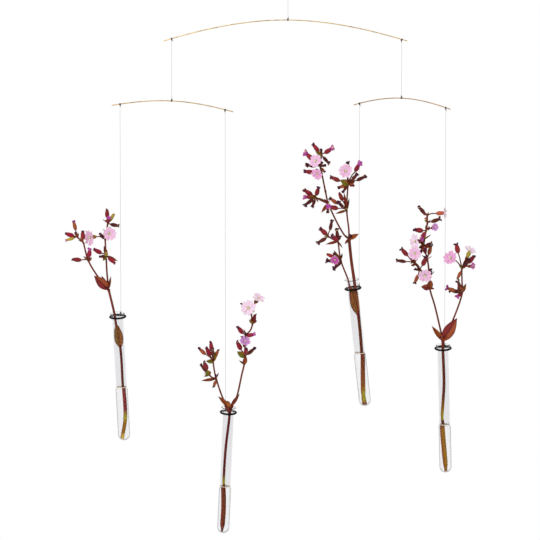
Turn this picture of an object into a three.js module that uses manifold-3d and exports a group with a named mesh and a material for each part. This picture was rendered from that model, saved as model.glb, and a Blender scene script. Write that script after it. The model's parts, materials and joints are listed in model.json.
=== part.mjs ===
// A hanging flower mobile: three sprung wire arms on threads carry four small glass vases.
// Each vase hangs from one side of a rubber ring round its neck, and holds water and a flower sprig.
// Millimetres and degrees, +Z up, +X to the right, +Y to the back. The origin is the place in the
// thread loop at the top where a ceiling hook bears.
import * as THREE from "three";
import { mergeVertices } from "three/addons/utils/BufferGeometryUtils.js";
import Module from "manifold-3d";

const wasm = await Module();
wasm.setup();

// Clearances between pieces that touch
const CLEARANCE = 0.3;
const WRAP_CLEARANCE = 0.25;

// Threads and knots
const THREAD_RADIUS = 0.2;
const THREAD_SIDES = 8;
const LOOP_LENGTH = 24;
const LOOP_WIDTH = 9;
const LOOP_SIDES = 6;
const LOOP_STEPS = 24;
const BEAD_RADIUS = 1;
const BEAD_SIDES = 7;
const BEAD_RINGS = 5;
const WRAP_WIDTH = 1.2;
const WRAP_SIDES = 7;
const WRAP_THICKNESS = 0.4;
const TOP_THREAD = 44.65;

// Wire arms. In shares of an arm's span: reach is how far along it its left and right knots sit from its
// centre knot, middle is where the arm's own middle lies, sag how far its tips stand below its crown.
const WIRE_RADIUS = 0.6;
const WIRE_SIDES = 8;
const WIRE_STEPS = 20;
const BEND_SHARE = 0.5;
const MAIN_SPAN = 302;
const LOWER_SPAN = 150.5;
const ARMS = {
  main_arm: { span: MAIN_SPAN, middle: -0.0106, sag: 0.0864, tilt: 0, turn: 0, reach: [-0.4788, 0.4679] },
  left_arm: { span: LOWER_SPAN, middle: 0.01, sag: 0.0625, tilt: 3.1, turn: 0, reach: [-0.4253, 0.4451] },
  right_arm: { span: LOWER_SPAN, middle: 0, sag: 0.0738, tilt: -1.7, turn: -38.8, reach: [-0.4412, 0.4552] },
};
const LEFT_DROP = 71.6;
const RIGHT_DROP = 67.2;
const VASE_1_THREAD = 258.25;
const VASE_2_THREAD = 372.35;
const VASE_3_THREAD = 225.35;
const VASE_4_THREAD = 291.25;

// Rubber rings and glass vases
const RING_CORD_RADIUS = 1.25;
const RING_SIDES = 7;
const RING_STEPS = 20;
const RING_SLACK = 0.7;
const VASE_LENGTH = 165;
const VASE_RADIUS = 7.6;
const VASE_WALL = 1;
const LIP_FLARE = 1.8;
const LIP_HEIGHT = 3;
const VASE_SEGMENTS = 18;
const BOWL_STEPS = 4;

// Flower sprigs: their places above the vase's mouth are in sprig units
const SPRIG_UNIT = 1;
const STEM_RADIUS = 1.35;
const STEM_SIDES = 5;
const STEPS_A_JOINT = 1.5;
const BRANCH_RADIUS = 0.8;
const STALK_RADIUS = 0.5;
const KNUCKLE_RADIUS = 1.8;
const KNUCKLE_SIDES = 6;
const KNUCKLE_RINGS = 5;
const BUD_LENGTH = 11.5;
const BUD_RADIUS = 2.7;
const BUD_SIDES = 5;
const CALYX_LENGTH = 10.5;
const MOUTH_RADIUS = 2.1;
const PETAL_THICKNESS = 0.8;
const PETAL_DISH = 0.16;
const PETALS = 5;
const LEAF_THICKNESS = 0.6;
const LEAF_WIDTH_SHARE = 0.34;
const BORE_LEAF_SHARE = 1.3;
const LEAF_CURL = 0.12;

// What is worked out from those
const BORE_RADIUS = VASE_RADIUS - VASE_WALL;
const LIP_RADIUS = VASE_RADIUS + LIP_FLARE;
const RING_RADIUS = VASE_RADIUS + RING_SLACK + RING_CORD_RADIUS;
const VASE_OFFSET = RING_RADIUS + RING_SLACK - CLEARANCE;
const BORE_FLAT = BORE_RADIUS * Math.cos(Math.PI / VASE_SEGMENTS);
const STEM_ROOM = BORE_FLAT - STEM_RADIUS - CLEARANCE;
const WIRE_BEAD = WIRE_RADIUS + WRAP_CLEARANCE + WRAP_THICKNESS + BEAD_RADIUS / 2;
const RING_BEAD = RING_CORD_RADIUS + WRAP_CLEARANCE + WRAP_THICKNESS + BEAD_RADIUS / 2;
const THREAD_START = BEAD_RADIUS + CLEARANCE;

// One joint of a sprig: its place above the vase's mouth, and what grows there.
// Buds and leaves are given by their tips, a flower by its centre, the way it faces and its width.
const at = (x, y, z, grown) => ({
  place: new THREE.Vector3(x, y, z).multiplyScalar(SPRIG_UNIT),
  knuckle: false,
  buds: [],
  leaves: [],
  boreLeaves: [],
  flowers: [],
  branches: [],
  ...grown,
});
const flower = (centre, facing, width) => ({ centre, facing, width: width * SPRIG_UNIT });

// A place inside the bore: across and back are shares of the room that the stem has to either side,
// and depth is its share of the way down to the bottom.
function borePlace(across, back, depth) {
  const [x, y] = [across * STEM_ROOM, back * STEM_ROOM];
  const reach = Math.hypot(x, y) + STEM_RADIUS;
  const floor = CLEARANCE + VASE_RADIUS - VASE_LENGTH - Math.sqrt(BORE_FLAT ** 2 - reach ** 2);
  return [x, y, depth * floor];
}

const inBore = (across, back, depth, grown) => ({
  ...at(0, 0, 0, grown),
  place: new THREE.Vector3(...borePlace(across, back, depth)),
});

// The vases, from left to right as they hang. knot is the side of the ring that the thread is tied to,
// lean how far the vase leans out from under that knot. In shares of the vase's length: rim is how far
// the ring sits below the vase's rim, water how deep it stands on the axis. The stem grows from its foot up.
const VASES = [
  {
    arm: "left_arm", end: 0, thread: VASE_1_THREAD, knot: 67, lean: 6.7, rim: 0.027, water: 0.412,
    stem: [
      inBore(-0.36, 0.45, 1),
      inBore(0.33, 0.5, 0.84, { knuckle: true }),
      inBore(0.35, 0.4, 0.58),
      inBore(0.3, -0.3, 0.28, { knuckle: true, boreLeaves: [[-0.4, -0.8, 0.09]] }),
      inBore(-0.4, -0.4, 0.11),
      inBore(-0.75, -0.5, 0),
      at(-9, -7, 33, {
        leaves: [[-26, -13, 53], [-5, -10, 51], [-17, -6, 51]],
        branches: [
          [
            at(-21, -9, 50),
            at(-32, -11, 72, {
              buds: [[-52, -16, 76], [-29, -16, 88]],
              leaves: [[-38, -13, 79], [-27, -15, 77]],
            }),
            at(-36, -10, 90),
            at(-37, -10, 95, { buds: [[-37, -14, 111]] }),
            at(-44, -8, 102, {
              buds: [[-59, -10, 108], [-48, -5, 122], [-59, -14, 100]],
              leaves: [[-42, -10, 108]],
            }),
          ],
          [
            at(-10, -5, 55),
            at(-10, -1, 75, {
              buds: [[-25, -5, 85], [1, -7, 66], [-18, -10, 76], [-9, -14, 82]],
              leaves: [[-14, -8, 70], [4, 0, 67], [-12, -4, 89]],
            }),
            at(-10, 1, 95, {
              buds: [[-16, -8, 105]],
              leaves: [[-18, 4, 103]],
              flowers: [flower([-29, -4, 100], [-0.75, -0.65, 0.1], 17)],
            }),
            at(-8, 1, 105, { flowers: [flower([-4, -10, 105], [0.1, -1, 0.1], 15)] }),
            at(-6, 2, 115, { buds: [[-6, 2, 134], [3, 6, 127], [8, -4, 113], [-4, -8, 125]] }),
          ],
        ],
      }),
    ],
  },
  {
    arm: "left_arm", end: 1, thread: VASE_2_THREAD, knot: 112, lean: 6.9, rim: 0.042, water: 0.364,
    stem: [
      inBore(-0.18, 0.5, 1),
      inBore(-0.09, 0.6, 0.83),
      inBore(-0.27, 0.55, 0.66),
      inBore(-0.42, 0.4, 0.61, { knuckle: true }),
      inBore(-0.3, 0.1, 0.34),
      inBore(0.26, -0.5, 0.1),
      inBore(0.35, -0.7, 0.02),
      at(2, -5, 1, {
        buds: [[-2, -13, 11]],
        leaves: [[-14, -12, 17], [13, 0, 18]],
        branches: [
          [
            at(-5, -6, 8),
            at(-17, -8, 38, {
              buds: [[-20, -14, 29]],
              leaves: [[-36, -12, 36]],
              branches: [
                [
                  at(-22, -10, 40),
                  at(-26, -12, 44, {
                    buds: [[-37, -13, 57], [-33, -19, 62]],
                    leaves: [[-30, -22, 53], [-33, -17, 43]],
                  }),
                ],
              ],
            }),
            at(-20, -7, 49),
            at(-22, -7, 60, {
              buds: [[-26, -5, 85], [-40, -13, 78], [-31, -8, 78], [-16, 0, 74], [-23, -17, 79]],
              leaves: [[-31, -14, 62], [-19, -12, 75]],
            }),
          ],
          [
            at(8, -4, 10),
            at(15, -2, 46),
            at(17, -2, 57, { leaves: [[10, -6, 63], [19, -8, 70]] }),
            at(17, -3, 67, { buds: [[7, -8, 87], [29, 2, 77], [19, -16, 81]], leaves: [[7, -12, 76]] }),
            at(17, -4, 83, { flowers: [flower([17, -14, 90], [0.1, -0.55, 0.83], 13)] }),
            at(17, -5, 94, { buds: [[7, -11, 107], [28, -11, 99], [11, -6, 93]] }),
            at(23, -6, 103),
            at(25, -6, 111, { buds: [[28, -2, 122]], leaves: [[20, -12, 118], [31, -9, 116]] }),
            at(23, -5, 123, {
              buds: [[11, 2, 134]],
              leaves: [[27, -8, 129]],
              flowers: [
                flower([19, -17, 134], [-0.2, -0.9, 0.35], 17),
                flower([31, -9, 145], [0.4, -0.5, 0.75], 13),
              ],
            }),
          ],
        ],
      }),
    ],
  },
  {
    arm: "right_arm", end: 0, thread: VASE_3_THREAD, knot: 36, lean: 7.7, rim: 0.073, water: 0.412,
    stem: [
      inBore(-0.1, 0.3, 1),
      inBore(-0.16, 0.35, 0.93, { knuckle: true }),
      inBore(0.17, 0.4, 0.75),
      inBore(0.55, 0.3, 0.58),
      inBore(0.75, -0.2, 0.3, {
        knuckle: true,
        boreLeaves: [[-0.5, -0.8, 0.12]],
        branches: [
          [
            inBore(-0.65, -0.4, 0.13),
            inBore(-0.9, -0.35, 0.01),
            at(-11, -8, 27, {
              buds: [[-28, -14, 39], [-28, -6, 28], [-20, -17, 20], [-18, -3, 36]],
              leaves: [[-19, -12, 43], [-17, -12, 20]],
              flowers: [flower([-18, -19, 31], [-0.3, -0.95, 0.1], 10)],
            }),
            at(-12, -10, 52, {
              buds: [[-12, -9, 67], [-18, -18, 62]],
              leaves: [[-28, -18, 52], [-7, -14, 44]],
              branches: [
                [
                  at(-18, -11, 56),
                  at(-23, -12, 60, { buds: [[-17, -9, 79], [-32, -15, 72], [-37, -12, 54]] }),
                ],
              ],
            }),
          ],
        ],
      }),
      inBore(0.65, -0.65, 0.05),
      at(2, -5, 23),
      at(2, -6, 53, {
        leaves: [[15, -14, 60], [-4, -10, 48]],
        branches: [
          [
            at(3, -7, 65),
            at(3, -8, 90, {
              buds: [[-4, -13, 115], [-16, -9, 108], [-6, -21, 104], [-18, -16, 99]],
              leaves: [[8, -4, 105], [2, -14, 115], [-12, -15, 89]],
            }),
            at(8, -9, 123, {
              buds: [
                [25, -14, 149], [-12, -5, 134], [30, -15, 132], [20, -22, 137], [1, -16, 116],
                [15, -5, 120], [-4, -16, 122], [11, -4, 150],
              ],
              leaves: [[-1, -18, 132], [18, -14, 128]],
              flowers: [flower([7, -20, 143], [0, -0.95, 0.3], 15)],
            }),
          ],
          [
            at(-3, -5, 58),
            at(-19, -2, 100, {
              buds: [[-21, -10, 91]],
              leaves: [[-29, -10, 91], [-33, 2, 109]],
              branches: [
                [
                  at(-29, -6, 107),
                  at(-34, -8, 111, {
                    buds: [
                      [-47, -5, 121], [-29, -14, 124], [-47, -13, 114], [-48, -9, 103], [-39, -14, 101],
                    ],
                    leaves: [[-42, -19, 115], [-31, -13, 105]],
                  }),
                ],
              ],
            }),
            at(-21, 0, 116, { leaves: [[-22, -3, 129]] }),
            at(-23, 1, 138, {
              buds: [[-44, 5, 143]],
              flowers: [flower([-29, -10, 141], [-0.35, -0.9, -0.1], 13)],
            }),
            at(-24, 1, 147, {
              buds: [[-17, 5, 148], [-40, 3, 166], [-40, 9, 150], [-19, -4, 141]],
              flowers: [flower([-29, -10, 158], [-0.3, -0.9, 0.4], 15)],
            }),
            at(-21, 1, 162, {
              buds: [[-30, 5, 176], [-7, -4, 170], [-13, 0, 151]],
              leaves: [[-28, -6, 169], [-20, 4, 169]],
            }),
          ],
        ],
      }),
    ],
  },
  {
    arm: "right_arm", end: 1, thread: VASE_4_THREAD, knot: 76, lean: 7.2, rim: 0.024, water: 0.37,
    stem: [
      inBore(0.05, 0.6, 1),
      inBore(-0.28, 0.6, 0.74),
      inBore(-0.4, 0.5, 0.64),
      inBore(-0.6, 0.2, 0.58, { knuckle: true }),
      inBore(-0.3, -0.1, 0.45),
      inBore(0.05, -0.4, 0.3),
      inBore(-0.05, -0.65, 0.01),
      at(0, -4, 7, {
        leaves: [[-14, -12, 29], [18, -12, 38]],
        branches: [
          [
            at(-9, -6, 52),
            at(-15, -7, 76, {
              buds: [[-14, 2, 98]],
              leaves: [[-26, -14, 80], [-14, -14, 89], [-9, -12, 76]],
            }),
            at(-15, -6, 90, {
              flowers: [flower([-21, -18, 95], [-0.1, -1, -0.05], 15)],
              branches: [
                [
                  at(-26, -10, 100, { buds: [[-34, -16, 85], [-19, -15, 117]] }),
                  at(-31, -12, 107, { flowers: [flower([-33, -23, 125], [-0.15, -0.9, 0.3], 15)] }),
                  at(-34, -12, 110, { buds: [[-49, -9, 128], [-55, -16, 115], [-30, -9, 115]] }),
                ],
              ],
            }),
            at(-17, -6, 112, { buds: [[-12, -2, 129]] }),
            at(-21, -5, 129, {
              buds: [[-20, -18, 128], [-25, -14, 124], [-11, -9, 134], [-26, -1, 136]],
              leaves: [[-28, -12, 129], [-14, -14, 130], [-19, -13, 120]],
            }),
            at(-20, -5, 137, { flowers: [flower([-32, -14, 138], [-0.85, -0.5, 0.15], 16)] }),
            at(-18, -4, 148, {
              buds: [[-32, -11, 152], [-24, -16, 142]],
              flowers: [flower([-7, -13, 155], [0.45, -0.8, 0.35], 9)],
            }),
            at(-16, -4, 158, { buds: [[0, 0, 162]] }),
            at(-16, -4, 167, {
              buds: [[-26, -9, 180]],
              leaves: [[-14, -6, 173]],
              flowers: [flower([5, -6, 171], [0.97, -0.2, 0.1], 13)],
            }),
          ],
          [
            at(13, -6, 34),
            at(25, -8, 69, {
              buds: [[6, -14, 77], [20, -3, 83], [18, -15, 66], [10, -5, 72]],
              leaves: [[30, -12, 82], [19, -18, 81]],
            }),
            at(25, -9, 84),
            at(25, -9, 99, {
              buds: [[19, -14, 88], [19, -6, 131], [41, 0, 113], [35, -7, 111], [35, 3, 117]],
              flowers: [
                flower([11, -18, 117], [-0.5, -0.75, 0.45], 16),
                flower([36, -9, 123], [0.4, -0.2, 0.9], 14), flower([38, -17, 105], [0.75, -0.6, 0.15], 8),
              ],
            }),
          ],
        ],
      }),
    ],
  },
];

const BRASS = new THREE.MeshStandardMaterial({ color: 0xb08a4e, roughness: 0.3, metalness: 1 });
const THREAD = new THREE.MeshStandardMaterial({ color: 0x6b6764, roughness: 0.8 });
const KNOT = new THREE.MeshStandardMaterial({ color: 0x2a2220, roughness: 0.8 });
const RUBBER = new THREE.MeshStandardMaterial({ color: 0x141414, roughness: 0.45 });
const CLEAR = { roughness: 0.05, transparent: true };
const GLASS = new THREE.MeshStandardMaterial({ color: 0xeef2f2, opacity: 0.3, ...CLEAR });
const WATER = new THREE.MeshStandardMaterial({ color: 0xf2f4ec, opacity: 0.4, ...CLEAR });
const PLANT = new THREE.MeshStandardMaterial({ color: 0x5e2f2a, roughness: 0.7 });
const PETAL = new THREE.MeshStandardMaterial({ color: 0xe0679f, roughness: 0.7 });

const UP = new THREE.Vector3(0, 0, 1);
const ALONG_Y = new THREE.Vector3(0, 1, 0);
const TO_VIEWER = new THREE.Vector3(0, -1, 0.35).normalize();
const vector = (point) => new THREE.Vector3(...point).multiplyScalar(SPRIG_UNIT);
const radians = THREE.MathUtils.degToRad;

// A closed geometry as a solid that can be joined and cut.
function solid(geometry) {
  const bare = geometry.clone();
  bare.deleteAttribute("normal");
  bare.deleteAttribute("uv");
  const merged = mergeVertices(bare, 1e-4);
  const triVerts = [];
  for (let i = 0; i < merged.index.count; i += 3) {
    const [a, b, c] = [0, 1, 2].map((k) => merged.index.getX(i + k));
    if (a !== b && b !== c && c !== a) triVerts.push(a, b, c);
  }
  const vertProperties = merged.attributes.position.array;
  const mesh = new wasm.Mesh({ numProp: 3, vertProperties, triVerts: new Uint32Array(triVerts) });
  return new wasm.Manifold(mesh);
}

function geometryOf(joined) {
  const made = joined.getMesh();
  return new THREE.BufferGeometry()
    .setAttribute("position", new THREE.BufferAttribute(made.vertProperties, made.numProp))
    .setIndex(new THREE.BufferAttribute(made.triVerts, 1));
}

const joined = (solids) => geometryOf(wasm.Manifold.union(solids));

function add(group, name, geometry, material) {
  const mesh = new THREE.Mesh(geometry, material);
  mesh.name = name;
  group.add(mesh);
  return mesh;
}

// A round section and a tube of it along a curve.
function section(radius, sides) {
  const corner = (i) => {
    const angle = (i / sides) * 2 * Math.PI;
    return new THREE.Vector2(Math.cos(angle), Math.sin(angle)).multiplyScalar(radius);
  };
  return new THREE.Shape(Array.from({ length: sides }, (_, i) => corner(i)));
}

function tube(extrudePath, radius, sides, steps) {
  return new THREE.ExtrudeGeometry(section(radius, sides), { extrudePath, steps, bevelEnabled: false });
}

// Turns a geometry that stands along +Y so that it stands along a direction from a place.
function stand(geometry, place, direction) {
  return geometry
    .applyQuaternion(new THREE.Quaternion().setFromUnitVectors(ALONG_Y, direction.clone().normalize()))
    .translate(place.x, place.y, place.z);
}

function lathe(profile, segments) {
  return new THREE.LatheGeometry(profile.map(([r, h]) => new THREE.Vector2(r, h)), segments);
}

// A sprung wire arm: bent round in the making, and bent further by the weight at its ends.
class ArmCurve extends THREE.Curve {
  constructor(arm) {
    super();
    this.arm = arm;
  }

  drop(along) {
    const { span, middle, sag } = this.arm;
    const share = 2 * Math.abs(along / span - middle);
    const formed = share ** 2;
    const loaded = (3 * share ** 2 - share ** 3) / 2;
    return span * sag * (BEND_SHARE * loaded + (1 - BEND_SHARE) * formed);
  }

  // Heights are measured from the centre knot, which is where along is 0.
  pointAlong(along) {
    return new THREE.Vector3(along, 0, this.drop(0) - this.drop(along));
  }

  getPoint(t, target = new THREE.Vector3()) {
    return target.copy(this.pointAlong(this.arm.span * (this.arm.middle + t - 0.5)));
  }
}

function ball(place, radius, sides, rings) {
  return solid(new THREE.SphereGeometry(radius, sides, rings).translate(place.x, place.y, place.z));
}

const bead = (place) => ball(place, BEAD_RADIUS, BEAD_SIDES, BEAD_RINGS);
const knuckle = (place, radius) => ball(place, radius, KNUCKLE_SIDES, KNUCKLE_RINGS);

// Turns of thread round a wire or ring of the given radius, tied off in a bead to one side.
function knot(coreRadius, axis, beadDirection) {
  const inner = coreRadius + WRAP_CLEARANCE;
  const outer = inner + WRAP_THICKNESS;
  const half = WRAP_WIDTH / 2;
  const profile = [[inner, -half], [outer, -half * 0.7], [outer, half * 0.7], [inner, half], [inner, -half]];
  const wrap = solid(stand(lathe(profile, WRAP_SIDES), new THREE.Vector3(), axis));
  return joined([wrap, bead(beadDirection.clone().multiplyScalar(outer + BEAD_RADIUS / 2))]);
}

// A straight thread hanging from a place.
function addThread(name, top, length) {
  const shaft = new THREE.CylinderGeometry(THREAD_RADIUS, THREAD_RADIUS, length, THREAD_SIDES);
  const mesh = add(mobile, name, shaft.rotateX(Math.PI / 2), THREAD);
  mesh.position.copy(top).addScaledVector(UP, -length / 2);
  return top.clone().addScaledVector(UP, -length);
}

// An arm whose centre knot hangs under the thread that ends at a place; returns where its two threads start.
function addArm(name, threadEnd) {
  const arm = ARMS[name];
  const curve = new ArmCurve(arm);
  const group = new THREE.Group();
  group.position.copy(threadEnd).addScaledVector(UP, -THREAD_START - WIRE_BEAD);
  group.rotation.set(0, radians(arm.tilt), radians(arm.turn), "ZYX");
  mobile.add(group);
  add(group, name, tube(curve, WIRE_RADIUS, WIRE_SIDES, WIRE_STEPS), BRASS);
  group.updateMatrix();
  const tie = (knotName, along, beadDirection) => {
    const place = curve.pointAlong(along).applyMatrix4(group.matrix);
    const wire = curve.pointAlong(along + 0.1).sub(curve.pointAlong(along - 0.1)).applyEuler(group.rotation);
    add(mobile, knotName, knot(WIRE_RADIUS, wire, beadDirection), KNOT).position.copy(place);
    return place;
  };
  tie(name + "_centre_knot", 0, UP);
  const down = UP.clone().negate();
  return arm.reach.map((share, i) => {
    const place = tie(name + ["_left_knot", "_right_knot"][i], share * arm.span, down);
    return place.addScaledVector(UP, -WIRE_BEAD - THREAD_START);
  });
}

// The loop at the top: a thread that goes up round the hook and comes back into its own knot.
function addLoop() {
  const half = LOOP_WIDTH / 2;
  const beadHeight = -LOOP_LENGTH;
  const side = [
    [0, beadHeight + BEAD_RADIUS / 2],
    [half * 0.45, beadHeight * 0.72],
    [half * 0.9, beadHeight * 0.4],
    [half, beadHeight * 0.2],
    [half * 0.7, beadHeight * 0.04],
  ];
  const left = side.map(([x, z]) => new THREE.Vector3(-x, 0, z));
  const right = side.map(([x, z]) => new THREE.Vector3(x, 0, z)).reverse();
  const crown = new THREE.Vector3(0, 0, THREAD_RADIUS);
  const way = new THREE.CatmullRomCurve3([...left, crown, ...right]);
  const strand = solid(tube(way, THREAD_RADIUS, LOOP_SIDES, LOOP_STEPS));
  add(mobile, "hanging_loop", joined([strand, bead(new THREE.Vector3(0, 0, beadHeight))]), THREAD);
  return new THREE.Vector3(0, 0, beadHeight - THREAD_START);
}

// Half of a round bottom, from its lowest point up to the straight wall.
function bowl(radius) {
  const corner = (i) => (i / BOWL_STEPS) * (Math.PI / 2);
  return Array.from({ length: BOWL_STEPS + 1 }, (_, i) => [
    i ? radius * Math.sin(corner(i)) : 0,
    -VASE_LENGTH + VASE_RADIUS - radius * Math.cos(corner(i)),
  ]);
}

// The vase, with a round bottom and a flared lip, standing on its axis with its rim at height 0.
function vaseProfile() {
  const outside = [
    ...bowl(VASE_RADIUS),
    [VASE_RADIUS, -LIP_HEIGHT],
    [VASE_RADIUS + LIP_FLARE * 0.4, -LIP_HEIGHT * 0.45],
    [LIP_RADIUS, -LIP_HEIGHT * 0.15],
    [LIP_RADIUS, 0],
  ];
  const inside = [
    [LIP_RADIUS - VASE_WALL * 0.8, 0],
    [BORE_RADIUS + LIP_FLARE * 0.4, -LIP_HEIGHT * 0.45],
    [BORE_RADIUS, -LIP_HEIGHT],
    ...bowl(BORE_RADIUS).reverse(),
  ];
  return [...outside, ...inside];
}

// A leaf from its foot to its tip, its face to the viewer and its tip curled back.
function leaf(foot, tip, width) {
  const length = foot.distanceTo(tip);
  const widths = [[0, 0.15], [0.25, 0.75], [0.5, 1], [0.8, 0.55]];
  const half = widths.map(([a, b]) => [a * length, (b * width) / 2]);
  const outline = [...half.map(([a, b]) => [a, -b]), [length, 0], ...half.reverse()];
  const shape = new THREE.Shape(outline.map(([a, b]) => new THREE.Vector2(a, b)));
  const blade = new THREE.ExtrudeGeometry(shape, { depth: LEAF_THICKNESS, bevelEnabled: false });
  blade.translate(0, 0, -LEAF_THICKNESS / 2);
  const points = blade.attributes.position;
  for (let i = 0; i < points.count; i++) {
    const share = points.getX(i) / length;
    points.setZ(i, points.getZ(i) - LEAF_CURL * length * share ** 2 * (1 - share));
  }
  const along = tip.clone().sub(foot).normalize();
  const face = TO_VIEWER.clone().addScaledVector(along, -TO_VIEWER.dot(along)).normalize();
  const turned = new THREE.Matrix4().makeBasis(along, face.clone().cross(along), face);
  return solid(blade.applyMatrix4(turned).translate(foot.x, foot.y, foot.z));
}

function stalk(from, to) {
  return solid(tube(new THREE.LineCurve3(from, to), STALK_RADIUS, BUD_SIDES, 1));
}

// A bud on its stalk, turned as one piece: the last part of the way from the joint to the tip is the calyx.
function bud(from, tip) {
  const way = tip.clone().sub(from);
  const length = Math.min(BUD_LENGTH, way.length() - STALK_RADIUS);
  const radius = (BUD_RADIUS * length) / BUD_LENGTH;
  const start = way.length() - length;
  const profile = [
    [0, 0],
    [STALK_RADIUS, 0],
    [STALK_RADIUS, start],
    [radius, start + 0.35 * length],
    [radius * 0.55, start + 0.88 * length],
    [0, way.length()],
  ];
  return solid(stand(lathe(profile, BUD_SIDES), from, way));
}

// The calyx of an open flower, cut flat where the petals spread, on its stalk.
function openCalyx(from, { centre, facing, width }) {
  const way = vector(facing).normalize();
  const size = Math.min(1, width / CALYX_LENGTH);
  const length = CALYX_LENGTH * size;
  const profile = [[0, 0], [BUD_RADIUS * 0.6, 0.1], [BUD_RADIUS, 0.4], [MOUTH_RADIUS, 1], [0, 1]];
  const shape = lathe(profile.map(([r, h]) => [r * size, h * length]), BUD_SIDES);
  const base = vector(centre).addScaledVector(way, -length - CLEARANCE);
  return [solid(stand(shape, base, way)), stalk(from, base.clone().addScaledVector(way, 1))];
}

// An open flower: petals cleft at the tip, spread in a shallow dish.
function blossom({ centre, facing, width }) {
  const radius = width / 2;
  const petal = [[-0.5, 0.3], [-0.36, 0.8], [-0.18, 1], [0, 0.68], [0.18, 1], [0.36, 0.8]];
  const outline = [];
  for (let i = 0; i < PETALS; i++) {
    for (const [turn, reach] of petal) {
      const angle = ((i + turn) / PETALS) * 2 * Math.PI;
      outline.push(new THREE.Vector2(Math.cos(angle), Math.sin(angle)).multiplyScalar(reach * radius));
    }
  }
  const flat = { depth: PETAL_THICKNESS, bevelEnabled: false };
  const disc = new THREE.ExtrudeGeometry(new THREE.Shape(outline), flat);
  const points = disc.attributes.position;
  for (let i = 0; i < points.count; i++) {
    const reach = Math.hypot(points.getX(i), points.getY(i)) / radius;
    points.setZ(i, points.getZ(i) + PETAL_DISH * radius * (reach - petal[0][1]));
  }
  return stand(disc.rotateX(-Math.PI / 2), vector(centre), vector(facing));
}

// The way of a stem or branch through its joints, and a tube along it.
function branchTube(joints, radius) {
  const way = new THREE.CatmullRomCurve3(joints.map((joint) => joint.place), false, "centripetal");
  return solid(tube(way, radius, STEM_SIDES, Math.ceil(STEPS_A_JOINT * (joints.length - 1))));
}

// Grows a stem or branch: its own tube, then what stands at each of its joints.
function grow(joints, radius, solids, flowers) {
  solids.push(branchTube(joints, radius));
  for (const joint of joints) {
    const { place } = joint;
    if (joint.knuckle) solids.push(knuckle(place, KNUCKLE_RADIUS));
    for (const tip of joint.buds) solids.push(bud(place, vector(tip)));
    for (const tip of joint.leaves) {
      solids.push(leaf(place, vector(tip), LEAF_WIDTH_SHARE * place.distanceTo(vector(tip))));
    }
    for (const shares of joint.boreLeaves) {
      const tip = new THREE.Vector3(...borePlace(...shares));
      solids.push(leaf(place, tip, BORE_LEAF_SHARE * Math.sqrt(BORE_FLAT ** 2 - tip.y ** 2)));
    }
    for (const open of joint.flowers) {
      solids.push(...openCalyx(place, open));
      flowers.push(open);
    }
    for (const branch of joint.branches) {
      grow([{ ...at(0, 0, 0), place }, ...branch], BRANCH_RADIUS, solids, flowers);
    }
  }
}

// A vase with its ring, water and sprig, hung by the ring from the end of a thread.
function addVase(number, vase, threadEnd) {
  const hung = new THREE.Group();
  hung.position.copy(threadEnd).addScaledVector(UP, -THREAD_START - RING_BEAD);
  mobile.add(hung);
  const knotSide = new THREE.Vector3(1, 0, 0).applyAxisAngle(UP, radians(vase.knot));
  const tangent = UP.clone().cross(knotSide);
  add(hung, "ring_knot_" + number, knot(RING_CORD_RADIUS, tangent, UP), KNOT);

  const leaning = new THREE.Group();
  leaning.quaternion.setFromAxisAngle(tangent.clone().negate(), radians(vase.lean));
  hung.add(leaning);
  const ring = new THREE.TorusGeometry(RING_RADIUS, RING_CORD_RADIUS, RING_SIDES, RING_STEPS);
  add(leaning, "hanging_ring_" + number, ring, RUBBER).position.copy(knotSide).multiplyScalar(-RING_RADIUS);

  const standing = new THREE.Group();
  standing.position.copy(knotSide).multiplyScalar(-VASE_OFFSET).addScaledVector(UP, vase.rim * VASE_LENGTH);
  leaning.add(standing);
  const glass = lathe(vaseProfile(), VASE_SEGMENTS).rotateX(Math.PI / 2);
  add(standing, "glass_vase_" + number, glass, GLASS);

  const solids = [];
  const flowers = [];
  grow(vase.stem, STEM_RADIUS, solids, flowers);
  add(standing, "flower_sprig_" + number, joined(solids), PLANT);
  flowers.forEach((open, i) => add(standing, `blossom_${number}_${i + 1}`, blossom(open), PETAL));

  // The water fills the bore up to a level surface, and stands clear of the stem.
  const level = UP.clone().applyQuaternion(leaning.quaternion.clone().invert());
  const surface = level.z * (vase.water * VASE_LENGTH - VASE_LENGTH + VASE_WALL);
  const filling = [...bowl(BORE_RADIUS - CLEARANCE), [BORE_RADIUS - CLEARANCE, 0], [0, 0]];
  const body = solid(lathe(filling, VASE_SEGMENTS).rotateX(Math.PI / 2));
  const swollen = vase.stem.filter((joint) => joint.knuckle);
  const rooms = wasm.Manifold.union([
    branchTube(vase.stem, STEM_RADIUS + CLEARANCE),
    knuckle(vase.stem[0].place, STEM_RADIUS + 2 * CLEARANCE),
    ...swollen.map((joint) => knuckle(joint.place, KNUCKLE_RADIUS + CLEARANCE)),
  ]);
  const water = body.trimByPlane(level.clone().negate().toArray(), -surface).subtract(rooms);
  add(standing, "water_" + number, geometryOf(water), WATER);
}

const mobile = new THREE.Group();
const mainStart = addThread("top_thread", addLoop(), TOP_THREAD);
const [leftStart, rightStart] = addArm("main_arm", mainStart);
const lowerStarts = {
  left_arm: addArm("left_arm", addThread("left_drop_thread", leftStart, LEFT_DROP)),
  right_arm: addArm("right_arm", addThread("right_drop_thread", rightStart, RIGHT_DROP)),
};
VASES.forEach((vase, i) => {
  const start = lowerStarts[vase.arm][vase.end];
  addVase(i + 1, vase, addThread("vase_thread_" + (i + 1), start, vase.thread));
});

export default mobile;
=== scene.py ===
import json
import math
import random

import bmesh
import bpy
from mathutils import Matrix, Vector


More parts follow.
